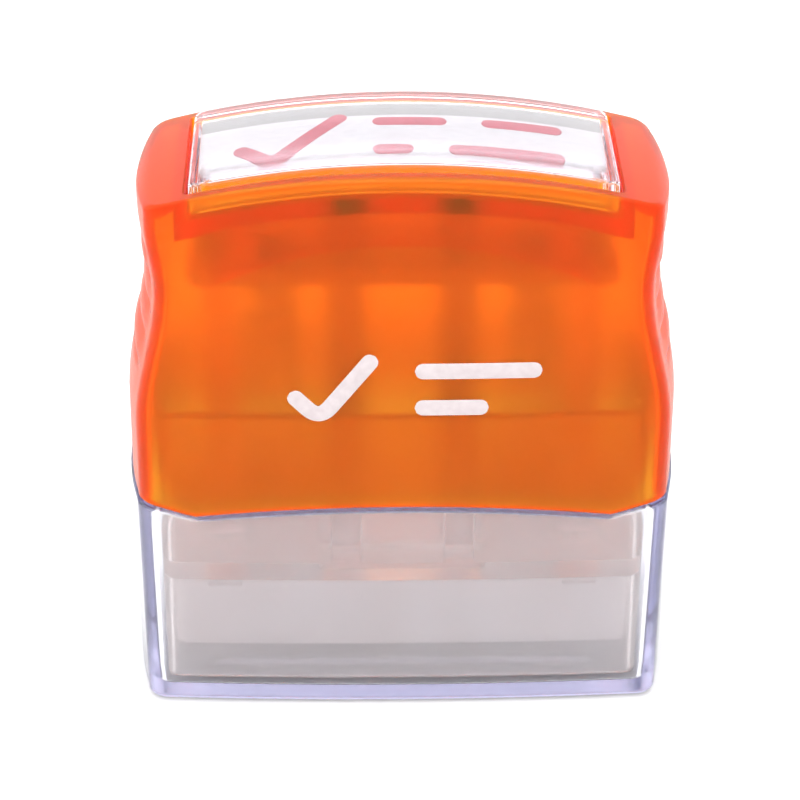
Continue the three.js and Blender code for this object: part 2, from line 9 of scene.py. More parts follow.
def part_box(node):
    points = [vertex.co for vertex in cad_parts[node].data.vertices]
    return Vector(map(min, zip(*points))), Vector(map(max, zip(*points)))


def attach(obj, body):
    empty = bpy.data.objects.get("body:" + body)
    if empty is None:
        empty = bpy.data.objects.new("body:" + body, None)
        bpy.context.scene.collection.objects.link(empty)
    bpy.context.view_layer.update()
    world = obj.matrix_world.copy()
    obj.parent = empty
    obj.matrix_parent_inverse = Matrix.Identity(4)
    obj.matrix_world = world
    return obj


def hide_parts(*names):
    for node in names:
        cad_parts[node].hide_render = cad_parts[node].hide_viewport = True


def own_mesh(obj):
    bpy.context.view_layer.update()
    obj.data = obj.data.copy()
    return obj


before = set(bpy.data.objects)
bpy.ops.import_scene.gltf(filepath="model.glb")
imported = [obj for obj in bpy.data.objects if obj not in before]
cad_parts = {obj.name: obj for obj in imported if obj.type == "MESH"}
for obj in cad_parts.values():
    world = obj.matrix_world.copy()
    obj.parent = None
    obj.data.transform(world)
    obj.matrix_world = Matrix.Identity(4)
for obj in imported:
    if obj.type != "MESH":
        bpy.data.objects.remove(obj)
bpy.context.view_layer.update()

# Self-inking flash stamp. Sizes in this script are millimetres; meshes are made in metres.
MM = 0.001


# ---------- sizes, from the CAD frame ----------

def extent(node):
    """Lowest and highest corner of a CAD node at rest, in millimetres."""
    low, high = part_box(node)
    return np.array(low) / MM, np.array(high) / MM


_, SHELL_HIGH = extent("handle_shell")
_, WINDOW_HIGH = extent("window_lens")
_, CARD_HIGH = extent("label_card")
_, CAP_HIGH = extent("dust_cap")
SKIRT_LOW, SKIRT_HIGH = extent("skirt")
MOUNT_LOW, MOUNT_HIGH = extent("die_mount")
SPONGE_LOW, SPONGE_HIGH = extent("ink_sponge")
DIE_LOW, DIE_HIGH = extent("flash_die")
BEZEL_LOW, BEZEL_HIGH = extent("die_bezel")
CARRIER_LOW, CARRIER_HIGH = extent("inner_carrier")
SPRING_LOW, SPRING_HIGH = extent("return_spring_right")
PLUG_LOW, PLUG_HIGH = extent("refill_plug_right")

GAP = 0.3
SKIN = 0.02
OVERLAP = 0.1
OVERCUT = 1.0
SIDE_BOW = 1.1
FRONT_BOW = 0.7
CORNER_RADIUS = 1.7

HIP_HALF_WIDTH = SHELL_HIGH[0] - SIDE_BOW
HIP_HALF_DEPTH = SHELL_HIGH[1] - FRONT_BOW
WAIST_NARROWING = 2.15
TOP_NARROWING = 1.45
WAIST_HALF_WIDTH = HIP_HALF_WIDTH - WAIST_NARROWING
TOP_HALF_WIDTH = HIP_HALF_WIDTH - TOP_NARROWING
HIP_Z = 31.5
WAIST_Z = 45.5
SHOULDER_Z = 52.0
TOP_HALF_DEPTH = 9.2
LEAN_POWER = 1.7
SHELL_WALL = 1.2
UPPER_WALL_EXTRA = 0.8
THICK_HALF_WIDTH = 18.0
SHOULDER_RADIUS = 1.7
SHOULDER_FULLNESS = 0.4
RIM_EDGE_RADIUS = 0.55
RIM_BREAK = 0.14

TOTAL_HEIGHT = WINDOW_HIGH[2]
WINDOW_ARCH = 90.5
WINDOW_WALL = 0.7
WINDOW_TOP_THICKNESS = 2.3
WINDOW_HEIGHT = 2.9
LIP_BREAK = 0.15
ARCH_CENTRE_Z = TOTAL_HEIGHT - WINDOW_ARCH
RIM_ARCH = SHELL_HIGH[2] - ARCH_CENTRE_Z
ROOF_ARCH = RIM_ARCH - SHELL_WALL
POCKET_ARCH = WINDOW_ARCH - WINDOW_HEIGHT - GAP
DECK_THICKNESS = 1.6
DECK_ARCH = POCKET_ARCH - DECK_THICKNESS
POCKET_HALF_WIDTH = WINDOW_HIGH[0] + GAP
POCKET_HALF_DEPTH = WINDOW_HIGH[1] + GAP
MOUTH_BREAK = 0.2
POCKET_SIDE_WALL = 1.0
POCKET_BOX_HALF_WIDTH = POCKET_HALF_WIDTH + POCKET_SIDE_WALL
INNER_ARCH_CROWN_Z = 50.2
INNER_ARCH = 48.0

RIDGE_COUNT = 4
RIDGE_TOP_Z = 47.5
RIDGE_PITCH = 3.1
RIDGE_HEIGHT = 2.5
RIDGE_PROUD = 0.28
RIDGE_GROOVE = 0.5
RIDGE_HALF_LENGTH = 8.0
RIDGE_BLEND = 0.5

JOINT_CROWN_Z = 23.0
JOINT_NOTCH_Z = 21.7
JOINT_NOTCH_X = 20.2
JOINT_CORNER_Z = CAP_HIGH[2]

CAP_SIDE_DRAFT = 0.012
CAP_FRONT_DRAFT = 0.012
CAP_HALF_WIDTH = CAP_HIGH[0] - SIDE_BOW - CAP_SIDE_DRAFT * JOINT_CORNER_Z - SKIN
CAP_HALF_DEPTH = CAP_HIGH[1] - FRONT_BOW - CAP_FRONT_DRAFT * JOINT_CORNER_Z - SKIN
CAP_WALL = 1.3
CAP_FLOOR = 1.6
CAP_EDGE_RADIUS = 1.0
CAP_RIM_RISE = 0.25
CAP_FLOOR_FILLET = 0.4
CAP_TRAY_RISE = 0.2
CAP_TRAY_SLOPE = 1.6

SKIRT_SIDE_BOW = 0.7
SKIRT_FRONT_BOW = 0.5
SKIRT_WALL = 0.9
SKIRT_HALF_WIDTH = SKIRT_HIGH[0] - SKIRT_SIDE_BOW
SKIRT_HALF_DEPTH = SKIRT_HIGH[1] - SKIRT_FRONT_BOW
SKIRT_CORNER_RADIUS = 1.6
SHELF_BOTTOM_Z = MOUNT_HIGH[2] + GAP
SHELF_THICKNESS = 2.0
SHELF_TOP_Z = SHELF_BOTTOM_Z + SHELF_THICKNESS

MOUNT_WALL = 1.2
MOUNT_FRONT_BOW = 0.4
NOTCH_DEPTH = 0.7
MOUNT_HALF_WIDTH = MOUNT_HIGH[0] - SKIRT_SIDE_BOW
MOUNT_HALF_DEPTH = MOUNT_HIGH[1] - MOUNT_FRONT_BOW

CARD_THICKNESS = 0.3
FLANGE_WIDTH = 1.1
FACE_HALF_WIDTH = DIE_HIGH[0] - FLANGE_WIDTH
FACE_HALF_DEPTH = DIE_HIGH[1] - FLANGE_WIDTH
# Painted shade on the label card: a grey band along its back edge stands in for the dim surroundings seen
# through the window's back wall.
LABEL_BACK_SHADE = 2.6
LABEL_BACK_SHADE_Y = CARD_HIGH[1] - LABEL_BACK_SHADE
LABEL_BACK_SHADE_BLUR = 0.2

PLATE_BOTTOM_Z = SPRING_HIGH[2] + GAP
PLATE_THICKNESS = 1.5
PLATE_TOP_Z = PLATE_BOTTOM_Z + PLATE_THICKNESS
SPRING_X = (SPRING_LOW[0] + SPRING_HIGH[0]) / 2
SPRING_RADIUS = (SPRING_HIGH[0] - SPRING_LOW[0]) / 2
WIRE_RADIUS = 0.32
PLUG_X = (PLUG_LOW[0] + PLUG_HIGH[0]) / 2
PLUG_HEAD_RADIUS = (PLUG_HIGH[0] - PLUG_LOW[0]) / 2
PLUG_HEAD_THICKNESS = 0.5
TUBE_RADIUS = 1.8
TUBE_BORE = 1.2
LEG_X = 17.5
LEG_HALF_WIDTH = 1.7
LEG_HALF_DEPTH = 3.0
POST_RADIUS = 1.4
POST_FOOT_Z = 35.0
STANDOFF_X = 15.0
STANDOFF_Y = 4.5
STANDOFF_RADIUS = 1.3
RIB_HALF_WIDTH = 1.5
RIB_HALF_DEPTH = 0.7
RIB_SHORT = 1.2
PEG_HEIGHT = 4.0
SHELF_WINDOW_HALF_WIDTH = 8.2
SHELF_WINDOW_HALF_DEPTH = 5.5


# ---------- forms ----------

def smoothstep(value, start, end):
    """0 up to start, 1 from end, and a smooth rise between."""
    t = np.clip((value - start) / (end - start), 0, 1)
    return t * t * (3 - 2 * t)


def arch(radius, x):
    """Level of one of the concentric top arches at x."""
    return ARCH_CENTRE_Z + np.sqrt(radius ** 2 - np.square(x))


def inner_arch(x):
    """Level of the step inside the handle, above which its walls are thicker."""
    return INNER_ARCH_CROWN_Z - INNER_ARCH + np.sqrt(INNER_ARCH ** 2 - np.square(x))


def handle_half_width(z):
    """Half the handle's width at the corners: widest at the hips, narrowest at the waist."""
    narrowing = smoothstep(z, HIP_Z, WAIST_Z) * (HIP_HALF_WIDTH - WAIST_HALF_WIDTH)
    widening = smoothstep(z, WAIST_Z, SHOULDER_Z) * (TOP_HALF_WIDTH - WAIST_HALF_WIDTH)
    return HIP_HALF_WIDTH - narrowing + widening


def handle_half_depth(z):
    """Half the handle's depth at the corners, which leans in towards the top."""
    climb = np.clip((z - JOINT_CORNER_Z) / (TOTAL_HEIGHT - JOINT_CORNER_Z), 0, 1)
    return HIP_HALF_DEPTH + (TOP_HALF_DEPTH - HIP_HALF_DEPTH) * climb ** LEAN_POWER


def rim_level(x, y):
    """Top of the handle: the rim arch, rolled down over the shoulders."""
    bow = SIDE_BOW * (1 - np.square(y / HIP_HALF_DEPTH))
    inward = np.clip(np.abs(x) - bow, 0, TOP_HALF_WIDTH)
    end_x = TOP_HALF_WIDTH - SHOULDER_RADIUS
    end_z = arch(RIM_ARCH, end_x)
    back = np.sqrt(np.clip((TOP_HALF_WIDTH - inward) / SHOULDER_RADIUS, 0, 1))
    rolled = end_z - 2 * back * (1 - back) * SHOULDER_FULLNESS - (1 - back) ** 2 * SHOULDER_RADIUS
    return np.where(inward < end_x, arch(RIM_ARCH, np.minimum(inward, end_x)), rolled)


def joint_level(x):
    """Joint line between cap and handle: a shallow arch, a notch on each side, then up to the corners."""
    across = np.abs(x)
    middle = JOINT_CROWN_Z - (JOINT_CROWN_Z - JOINT_NOTCH_Z) * np.square(across / JOINT_NOTCH_X)
    climb = (across - JOINT_NOTCH_X) / (HIP_HALF_WIDTH - JOINT_NOTCH_X)
    corner = JOINT_NOTCH_Z + (JOINT_CORNER_Z - JOINT_NOTCH_Z) * np.clip(climb, 0, 1)
    return np.where(across < JOINT_NOTCH_X, middle, corner)


# ---------- plan outlines and stacks of rings ----------

SIDE_STEPS = 10
CORNER_STEPS = 7
FRONT_STEPS = 26


def barrel(half_width, half_depth, side_bow=0.0, front_bow=0.0, radius=1.0):
    """Plan outline that starts at the middle of the right side. Every outline has as many points."""
    corner_x = half_width - radius
    corner_y = half_depth - radius
    side_y = np.linspace(0, corner_y, SIDE_STEPS, endpoint=False)
    side_x = half_width + side_bow * (1 - np.square(side_y / corner_y))
    turn = np.linspace(0, math.pi / 2, CORNER_STEPS)
    front_x = np.linspace(corner_x, 0, FRONT_STEPS)[1:]
    front_y = half_depth + front_bow * (1 - np.square(front_x / corner_x))
    x = np.concatenate([side_x, corner_x + radius * np.cos(turn), front_x])
    y = np.concatenate([side_y, corner_y + radius * np.sin(turn), front_y])
    half = np.column_stack([np.concatenate([x, -x[-2::-1]]), np.concatenate([y, y[-2::-1]])])
    return np.concatenate([half, half[-2:0:-1] * (1, -1)])


def raised(plan, z):
    """A plan outline at a level, or at a level for each point."""
    return np.column_stack([plan, np.broadcast_to(z, len(plan))])


def mesh_object(name, points, faces):
    """An object from points in millimetres. Doubled points are merged, faces turned outwards."""
    mesh = bpy.data.meshes.new(name)
    mesh.from_pydata((np.asarray(points) * MM).tolist(), [], faces)
    work = bmesh.new()
    work.from_mesh(mesh)
    bmesh.ops.remove_doubles(work, verts=work.verts, dist=0.002 * MM)
    bmesh.ops.dissolve_degenerate(work, edges=work.edges, dist=0.001 * MM)
    bmesh.ops.recalc_face_normals(work, faces=work.faces)
    work.to_mesh(mesh)
    work.free()
    obj = bpy.data.objects.new(name, mesh)
    bpy.context.scene.collection.objects.link(obj)
    return obj


def bands(rows, count, loop=False):
    """Quads from each row of points to the next, and in a loop from the last row to the first."""
    faces = []
    for row in range(rows if loop else rows - 1):
        here = row * count
        there = (row + 1) % rows * count
        for i in range(count):
            j = (i + 1) % count
            faces.append((here + i, here + j, there + j, there + i))
    return faces


def ends(rows, count):
    """A face over the first row of points and one over the last."""
    total = rows * count
    return [tuple(range(count)), tuple(total - 1 - i for i in range(count))]


def ring_stack(name, rings, loop=False):
    """Joins rings of points one after another. The ends are closed, or joined to each other in a loop."""
    count = len(rings[0])
    faces = bands(len(rings), count, loop)
    if not loop:
        for start in (0, (len(rings) - 1) * count):
            faces.extend(ladder(start, count))
    return mesh_object(name, np.concatenate(rings), faces)


def ladder(start, count):
    """Closes a ring by rungs that run from front to back."""
    rungs = []
    for i in range(count // 2):
        rung = [start + i, start + i + 1, start + (count - i - 1) % count, start + (count - i) % count]
        rungs.append(tuple(dict.fromkeys(rung)))
    return rungs


def block(name, centre, half_width, half_depth, bottom, top, radius=0.3, edge=0.2):
    """Upright block with rounded corners in plan and softened top and bottom edges."""
    rings = []
    for inset, z in edge_profile(bottom, top, edge):
        plan = barrel(half_width - inset, half_depth - inset, radius=max(radius - inset, 0.05))
        rings.append(raised(plan + centre, z))
    return ring_stack(name, rings)


def edge_profile(bottom, top, edge, steps=3):
    """(inset, level) pairs up a wall whose bottom and top edges are rounded."""
    turns = np.linspace(0, math.pi / 2, steps + 1)
    low = [(edge * (1 - math.sin(t)), bottom + edge * (1 - math.cos(t))) for t in turns]
    high = [(inset, top + bottom - z) for inset, z in reversed(low)]
    return low + high


def lathe(name, x, y, profile, sides=40):
    """Turns (radius, level) pairs about an upright axis. The first and last radius are 0."""
    angles = np.linspace(0, 2 * math.pi, sides, endpoint=False)
    points = [(x + r * math.cos(a), y + r * math.sin(a), z) for r, z in profile for a in angles]
    return mesh_object(name, points, bands(len(profile), sides))


def rod(x, y, radius, bottom, top, edge=0.15):
    """Upright round bar with softened ends."""
    side = [(radius - inset, z) for inset, z in edge_profile(bottom, top, edge)]
    return lathe("rod", x, y, [(0, bottom), *side, (0, top)])


# ---------- joining and placing ----------

def applied(obj):
    """Bakes the object's modifiers into its mesh."""
    depsgraph = bpy.context.evaluated_depsgraph_get()
    mesh = bpy.data.meshes.new_from_object(obj.evaluated_get(depsgraph))
    obj.modifiers.clear()
    obj.data = mesh
    return obj


def combine(obj, others, operation):
    """Adds other objects to a piece, or cuts them out of it."""
    for other in others:
        modifier = obj.modifiers.new("combine", "BOOLEAN")
        modifier.operation = operation
        modifier.solver = "EXACT"
        modifier.object = other
        applied(obj)
        bpy.data.objects.remove(other)
    return obj


def place(obj, name, body, material, stands_for, smooth_below=35):
    """Names, shades and registers a finished piece."""
    obj.name = name
    obj.data.materials.clear()
    obj.data.materials.append(material)
    obj.data.shade_smooth()
    obj.data.set_sharp_from_angle(angle=math.radians(smooth_below))
    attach(obj, body)
    if stands_for:
        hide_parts(stands_for)
    return obj


# ---------- materials ----------

def new_material(name, **settings):
    """A material with its principled shader's own sockets set."""
    material = bpy.data.materials.new(name)
    material.use_nodes = True
    shader = material.node_tree.nodes["Principled BSDF"]
    for key, value in settings.items():
        shader.inputs[key.replace("_", " ")].default_value = value
    return material, material.node_tree, shader


def noise(tree, scale, detail=3.0, stretch=(1, 1, 1)):
    """Noise over the object, scale being in features per metre."""
    coordinates = tree.nodes.new("ShaderNodeTexCoord")
    mapping = tree.nodes.new("ShaderNodeMapping")
    mapping.inputs["Scale"].default_value = stretch
    texture = tree.nodes.new("ShaderNodeTexNoise")
    texture.inputs["Scale"].default_value = scale
    texture.inputs["Detail"].default_value = detail
    tree.links.new(coordinates.outputs["Object"], mapping.inputs["Vector"])
    tree.links.new(mapping.outputs["Vector"], texture.inputs["Vector"])
    return texture.outputs["Fac"]


def remap(tree, value, low, high, start=0.3, end=0.7):
    """A value that runs from start to end, brought to run from low to high."""
    node = tree.nodes.new("ShaderNodeMapRange")
    node.inputs["From Min"].default_value = start
    node.inputs["From Max"].default_value = end
    node.inputs["To Min"].default_value = low
    node.inputs["To Max"].default_value = high
    tree.links.new(value, node.inputs["Value"])
    return node.outputs["Result"]


def tint(tree, value, dark, light):
    """Colour between two tints, driven by a value."""
    node = tree.nodes.new("ShaderNodeMix")
    node.data_type = "RGBA"
    node.inputs["A"].default_value = (*dark, 1)
    node.inputs["B"].default_value = (*light, 1)
    tree.links.new(value, node.inputs["Factor"])
    return node.outputs["Result"]


def mixed(tree, share, under, over):
    """The colour under, giving way to a tint as the share rises."""
    node = tree.nodes.new("ShaderNodeMix")
    node.data_type = "RGBA"
    node.inputs["B"].default_value = (*over, 1)
    tree.links.new(under, node.inputs["A"])
    tree.links.new(share, node.inputs["Factor"])
    return node.outputs["Result"]


def across(tree):
    """How far back a point lies on its piece, in metres."""
    coordinates = tree.nodes.new("ShaderNodeTexCoord")
    split = tree.nodes.new("ShaderNodeSeparateXYZ")
    tree.links.new(coordinates.outputs["Object"], split.inputs["Vector"])
    return split.outputs["Y"]


def bump(tree, shader, *layers):
    """Adds (height, depth in millimetres) layers of fine relief."""
    normal = None
    for height, depth in layers:
        node = tree.nodes.new("ShaderNodeBump")
        node.inputs["Distance"].default_value = depth * MM
        tree.links.new(height, node.inputs["Height"])
        if normal:
            tree.links.new(normal, node.inputs["Normal"])
        normal = node.outputs["Normal"]
    tree.links.new(normal, shader.inputs["Normal"])


def absorb(tree, colour, density):
    """Tints light by the length of its way through the piece."""
    node = tree.nodes.new("ShaderNodeVolumeAbsorption")
    node.inputs["Color"].default_value = (*colour, 1)
    node.inputs["Density"].default_value = density
    tree.links.new(node.outputs["Volume"], tree.nodes["Material Output"].inputs["Volume"])


def translucent_orange():
    """Satin plastic that swallows green and blue, so that thick places turn red."""
    material, tree, shader = new_material(
        "translucent_orange", Transmission_Weight=0.98, IOR=1.46, Specular_IOR_Level=0.25)
    shader.inputs["Specular Tint"].default_value = (1.0, 0.45, 0.2, 1)
    cloud = noise(tree, 60, 3)
    grain = noise(tree, 5000, 2)
    colour = tint(tree, remap(tree, cloud, 0, 1), (1.0, 0.86, 0.05), (1.0, 0.94, 0.08))
    tree.links.new(colour, shader.inputs["Base Color"])
    tree.links.new(remap(tree, grain, 0.33, 0.38), shader.inputs["Roughness"])
    bump(tree, shader, (grain, 0.0008))
    absorb(tree, (1.0, 0.46, 0.15), 1400)
    return material


def clear_window():
    """Clear moulded plastic, very faintly wavy."""
    material, tree, shader = new_material("clear_window", Transmission_Weight=1.0, IOR=1.49)
    shader.inputs["Base Color"].default_value = (0.97, 0.97, 0.98, 1)
    waves = noise(tree, 150, 2, (1, 3, 1))
    tree.links.new(remap(tree, waves, 0.02, 0.06), shader.inputs["Roughness"])
    bump(tree, shader, (waves, 0.006))
    absorb(tree, (0.82, 0.8, 0.86), 60)
    return material


def clear_cap():
    """Clear plastic with a lavender cast where it is thick."""
    material, tree, shader = new_material("clear_cap", Transmission_Weight=1.0, IOR=1.45)
    shader.inputs["Base Color"].default_value = (1.0, 1.0, 1.0, 1)
    waves = noise(tree, 90, 2)
    tree.links.new(remap(tree, waves, 0.1, 0.14), shader.inputs["Roughness"])
    bump(tree, shader, (waves, 0.004))
    absorb(tree, (0.62, 0.62, 0.82), 70)
    return material


def milky_plastic():
    """Cloudy plastic with a pink cast."""
    material, tree, shader = new_material("milky_plastic", Transmission_Weight=0.72, IOR=1.46)
    cloud = noise(tree, 120, 3)
    colour = tint(tree, remap(tree, cloud, 0, 1), (0.93, 0.74, 0.7), (0.98, 0.82, 0.78))
    tree.links.new(colour, shader.inputs["Base Color"])
    tree.links.new(remap(tree, cloud, 0.4, 0.55), shader.inputs["Roughness"])
    bump(tree, shader, (noise(tree, 1800, 2), 0.003))
    return material


def skirt_plastic():
    """Half-clear plastic, a little hazy."""
    material, tree, shader = new_material("skirt_plastic", Transmission_Weight=0.78, IOR=1.49)
    cloud = noise(tree, 140, 3, (1, 1, 0.4))
    colour = tint(tree, remap(tree, cloud, 0, 1), (0.97, 0.9, 0.87), (1.0, 0.95, 0.93))
    tree.links.new(colour, shader.inputs["Base Color"])
    tree.links.new(remap(tree, cloud, 0.19, 0.25), shader.inputs["Roughness"])
    bump(tree, shader, (noise(tree, 1500, 2), 0.002))
    absorb(tree, (0.85, 0.74, 0.7), 60)
    return material


def white_plastic(name, light):
    """Opaque moulded plastic, slightly uneven."""
    material, tree, shader = new_material(name, Specular_IOR_Level=0.4)
    cloud = noise(tree, 90, 4)
    dark = tuple(0.93 * value for value in light)
    tree.links.new(tint(tree, remap(tree, cloud, 0, 1), dark, light), shader.inputs["Base Color"])
    tree.links.new(remap(tree, cloud, 0.38, 0.5), shader.inputs["Roughness"])
    bump(tree, shader, (noise(tree, 2200, 2), 0.012))
    return material


def label_paper():
    """White paper with a painted grey shade band along its back edge, standing in for the dim surroundings
    seen through the window's back wall.
    """
    material, tree, shader = new_material("label_paper")
    fibres = noise(tree, 900, 5, (1, 2.5, 1))
    paper = tint(tree, remap(tree, fibres, 0, 1), (0.62, 0.61, 0.62), (0.7, 0.69, 0.7))
    # Painted shade: the grey band along the card's back edge stands in for the dim surroundings seen
    # through the window's back wall.
    back_shade = remap(tree, across(tree), 0, 1, LABEL_BACK_SHADE_Y * MM, (LABEL_BACK_SHADE_Y + LABEL_BACK_SHADE_BLUR) * MM)
    tree.links.new(mixed(tree, back_shade, paper, (0.34, 0.34, 0.33)), shader.inputs["Base Color"])
    tree.links.new(remap(tree, fibres, 0.6, 0.8), shader.inputs["Roughness"])
    bump(tree, shader, (fibres, 0.02))
    return material


def print_ink(name, dark, light):
    """Mottled matt ink."""
    material, tree, shader = new_material(name)
    mottle = noise(tree, 1400, 4)
    tree.links.new(tint(tree, remap(tree, mottle, 0, 1), dark, light), shader.inputs["Base Color"])
    tree.links.new(remap(tree, mottle, 0.4, 0.6), shader.inputs["Roughness"])
    bump(tree, shader, (mottle, 0.012))
    return material


def porous(name, dark, light, cell_scale):
    """Open foam: small pits over a soaked, uneven colour."""
    material, tree, shader = new_material(name)
    soak = noise(tree, 140, 4)
    pits = noise(tree, cell_scale, 4)
    tree.links.new(tint(tree, remap(tree, soak, 0, 1), dark, light), shader.inputs["Base Color"])
    tree.links.new(remap(tree, pits, 0.6, 0.95), shader.inputs["Roughness"])
    bump(tree, shader, (pits, 0.12))
    return material


def rubber():
    """Dark rubber with a fine grain."""
    material, tree, shader = new_material("plug_rubber")
    grain = noise(tree, 1200, 4)
    colour = tint(tree, remap(tree, grain, 0, 1), (0.05, 0.05, 0.055), (0.09, 0.09, 0.1))
    tree.links.new(colour, shader.inputs["Base Color"])
    tree.links.new(remap(tree, grain, 0.55, 0.75), shader.inputs["Roughness"])
    bump(tree, shader, (grain, 0.02))
    return material


def spring_steel():
    """Drawn steel wire."""
    material, tree, shader = new_material("spring_steel", Metallic=1.0)
    drawn = noise(tree, 500, 3, (1, 1, 4))
    colour = tint(tree, remap(tree, drawn, 0, 1), (0.42, 0.42, 0.43), (0.62, 0.62, 0.63))
    tree.links.new(colour, shader.inputs["Base Color"])
    tree.links.new(remap(tree, drawn, 0.22, 0.4), shader.inputs["Roughness"])
    bump(tree, shader, (drawn, 0.01))
    return material


def floor_paper():
    """Pale seamless paper."""
    material, tree, shader = new_material("pale_floor", Specular_IOR_Level=0.2)
    grain = noise(tree, 30, 3)
    colour = tint(tree, remap(tree, grain, 0, 1), (0.57, 0.57, 0.58), (0.59, 0.59, 0.59))
    tree.links.new(colour, shader.inputs["Base Color"])
    tree.links.new(remap(tree, grain, 0.5, 0.6), shader.inputs["Roughness"])
    return material


# ---------- printed and moulded marks ----------

MARK_WIDTH = 1.6
INK_THICKNESS = 0.03


def tick(x, z, size):
    """A tick mark's centre line, its low corner at (x, z)."""
    return [(x - 0.42 * size, z + 0.42 * size), (x, z), (x + 0.8 * size, z + size)]


def dash(x, z, length):
    """A level bar's centre line."""
    return [(x, z), (x + length, z)]


def stroke(path, width, surface, proud, sunk=0.03):
    """Points and faces of one round-ended stroke laid over a surface.

    surface(u, v, height) gives the point above the surface at (u, v) in the mark's own plane.
    """
    line = evenly(rounded_path(path, width), width / 10)
    radius = width / 2
    ahead = np.gradient(line, axis=0)
    ahead /= np.linalg.norm(ahead, axis=1)[:, None]
    side = np.column_stack([-ahead[:, 1], ahead[:, 0]])
    lengths = run_lengths(line)
    from_end = np.minimum(lengths, lengths[-1] - lengths)
    half = np.sqrt(np.clip(radius ** 2 - np.square(np.clip(radius - from_end, 0, None)), 0.0004, None))
    section = [(-1, -sunk), (-1, 0.6 * proud), (-0.9, proud), (0.9, proud), (1, 0.6 * proud), (1, -sunk)]
    points = []
    for centre, across, reach in zip(line, side, half):
        for share, height in section:
            u, v = centre + across * reach * share
            points.append(surface(u, v, height))
    size = (len(line), len(section))
    return points, ends(*size) + bands(*size)


def rounded_path(path, radius):
    """The path with each inner corner replaced by a short curve."""
    points = [np.array(path[0], float)]
    for before, corner, after in zip(path, path[1:], path[2:]):
        corner = np.array(corner, float)
        enter = corner + radius * unit(np.array(before) - corner)
        leave = corner + radius * unit(np.array(after) - corner)
        for t in np.linspace(0, 1, 7):
            points.append((1 - t) ** 2 * enter + 2 * t * (1 - t) * corner + t ** 2 * leave)
    points.append(np.array(path[-1], float))
    return np.array(points)


def unit(vector):
    """The vector at length 1."""
    return vector / np.linalg.norm(vector)


def run_lengths(points):
    """Distance along a line of points to each of them."""
    return np.concatenate([[0], np.cumsum(np.linalg.norm(np.diff(points, axis=0), axis=1))])


def evenly(points, spacing):
    """The same line with its points evenly spaced."""
    lengths = run_lengths(points)
    at = np.linspace(0, lengths[-1], max(int(lengths[-1] / spacing), 4))
    return np.column_stack([np.interp(at, lengths, points[:, 0]), np.interp(at, lengths, points[:, 1])])


def strokes_object(name, paths, width, surface, proud):
    """All strokes of a mark as one object."""
    points, faces = [], []
    for path in paths:
        more_points, more_faces = stroke(path, width, surface, proud)
        faces.extend(tuple(len(points) + i for i in face) for face in more_faces)
        points.extend(more_points)
    return mesh_object(name, points, faces)


def shell_front(x, z, height):
    """Point above the handle's bowed front face."""
    scale = handle_half_width(z) / HIP_HALF_WIDTH
    bow = 1 - (x / (scale * (HIP_HALF_WIDTH - CORNER_RADIUS))) ** 2
    depth = handle_half_depth(z) / HIP_HALF_DEPTH * (HIP_HALF_DEPTH + FRONT_BOW * bow)
    return x, -depth - height, z


def card_top(x, y, height):
    """Point above the label card."""
    return x, y, CARD_HIGH[2] - arch(WINDOW_ARCH, 0) + arch(WINDOW_ARCH, x) + height


FRONT_MARK = [
    tick(-8.0, 33.0, 6.6),
    dash(1.0, 38.0, 12.0),
    dash(1.0, 34.2, 7.0),
]

LABEL_MARK = [
    tick(-12.0, -3.2, 8.2),
    dash(-2.8, 3.4, 7.0),
    dash(7.4, 3.4, 7.6),
    dash(-2.8, -2.0, 3.8),
    dash(4.2, -2.0, 10.8),
]
DIE_RELIEF = 0.12
DIE_EDGE = 0.2
PAD_DISH = 0.04


# ---------- pieces fixed to the handle ----------

def shell_plan(side_inset=0.0, front_inset=0.0):
    """The handle's plan at its hips, shrunk by the insets."""
    radius = max(CORNER_RADIUS - side_inset, 0.6)
    return barrel(HIP_HALF_WIDTH - side_inset, HIP_HALF_DEPTH - front_inset, SIDE_BOW, FRONT_BOW, radius)


def shell_ring(z, side_inset=0.0, front_inset=0.0):
    """The handle's outline at level z, or at a level for each point, shrunk by the insets."""
    plan = shell_plan(side_inset, front_inset)
    z = np.broadcast_to(z, len(plan))
    along_x = (handle_half_width(z) - side_inset) / (HIP_HALF_WIDTH - side_inset)
    along_y = (handle_half_depth(z) - front_inset) / (HIP_HALF_DEPTH - front_inset)
    return np.column_stack([plan[:, 0] * along_x, plan[:, 1] * along_y, z])


def upper_ring(z):
    """The inside above the inner arch, where the middle of the front and back walls is thicker."""
    thin = shell_ring(z, SHELL_WALL, SHELL_WALL)
    thick = shell_ring(z, SHELL_WALL, SHELL_WALL + UPPER_WALL_EXTRA)
    share = 1 - smoothstep(np.abs(thin[:, 0]), THICK_HALF_WIDTH - 2, THICK_HALF_WIDTH + 1)
    return thin + (thick - thin) * share[:, None]


def facing_front(ring):
    """How much each point of a ring faces the front or back rather than a side, 0 to 1."""
    ahead = np.roll(ring[:, :2], -1, axis=0) - np.roll(ring[:, :2], 1, axis=0)
    return np.abs(ahead[:, 0]) / np.linalg.norm(ahead, axis=1)


def shell_edge_level():
    """Level at which each column of the outer wall meets the rounded rim."""
    drop = RIM_EDGE_RADIUS * facing_front(shell_plan())
    low = np.full(len(drop), WAIST_Z)
    high = np.full(len(drop), TOTAL_HEIGHT)
    for _ in range(30):
        middle = (low + high) / 2
        ring = shell_ring(middle)
        under = rim_level(ring[:, 0], ring[:, 1]) - drop > middle
        low = np.where(under, middle, low)
        high = np.where(under, high, middle)
    return low


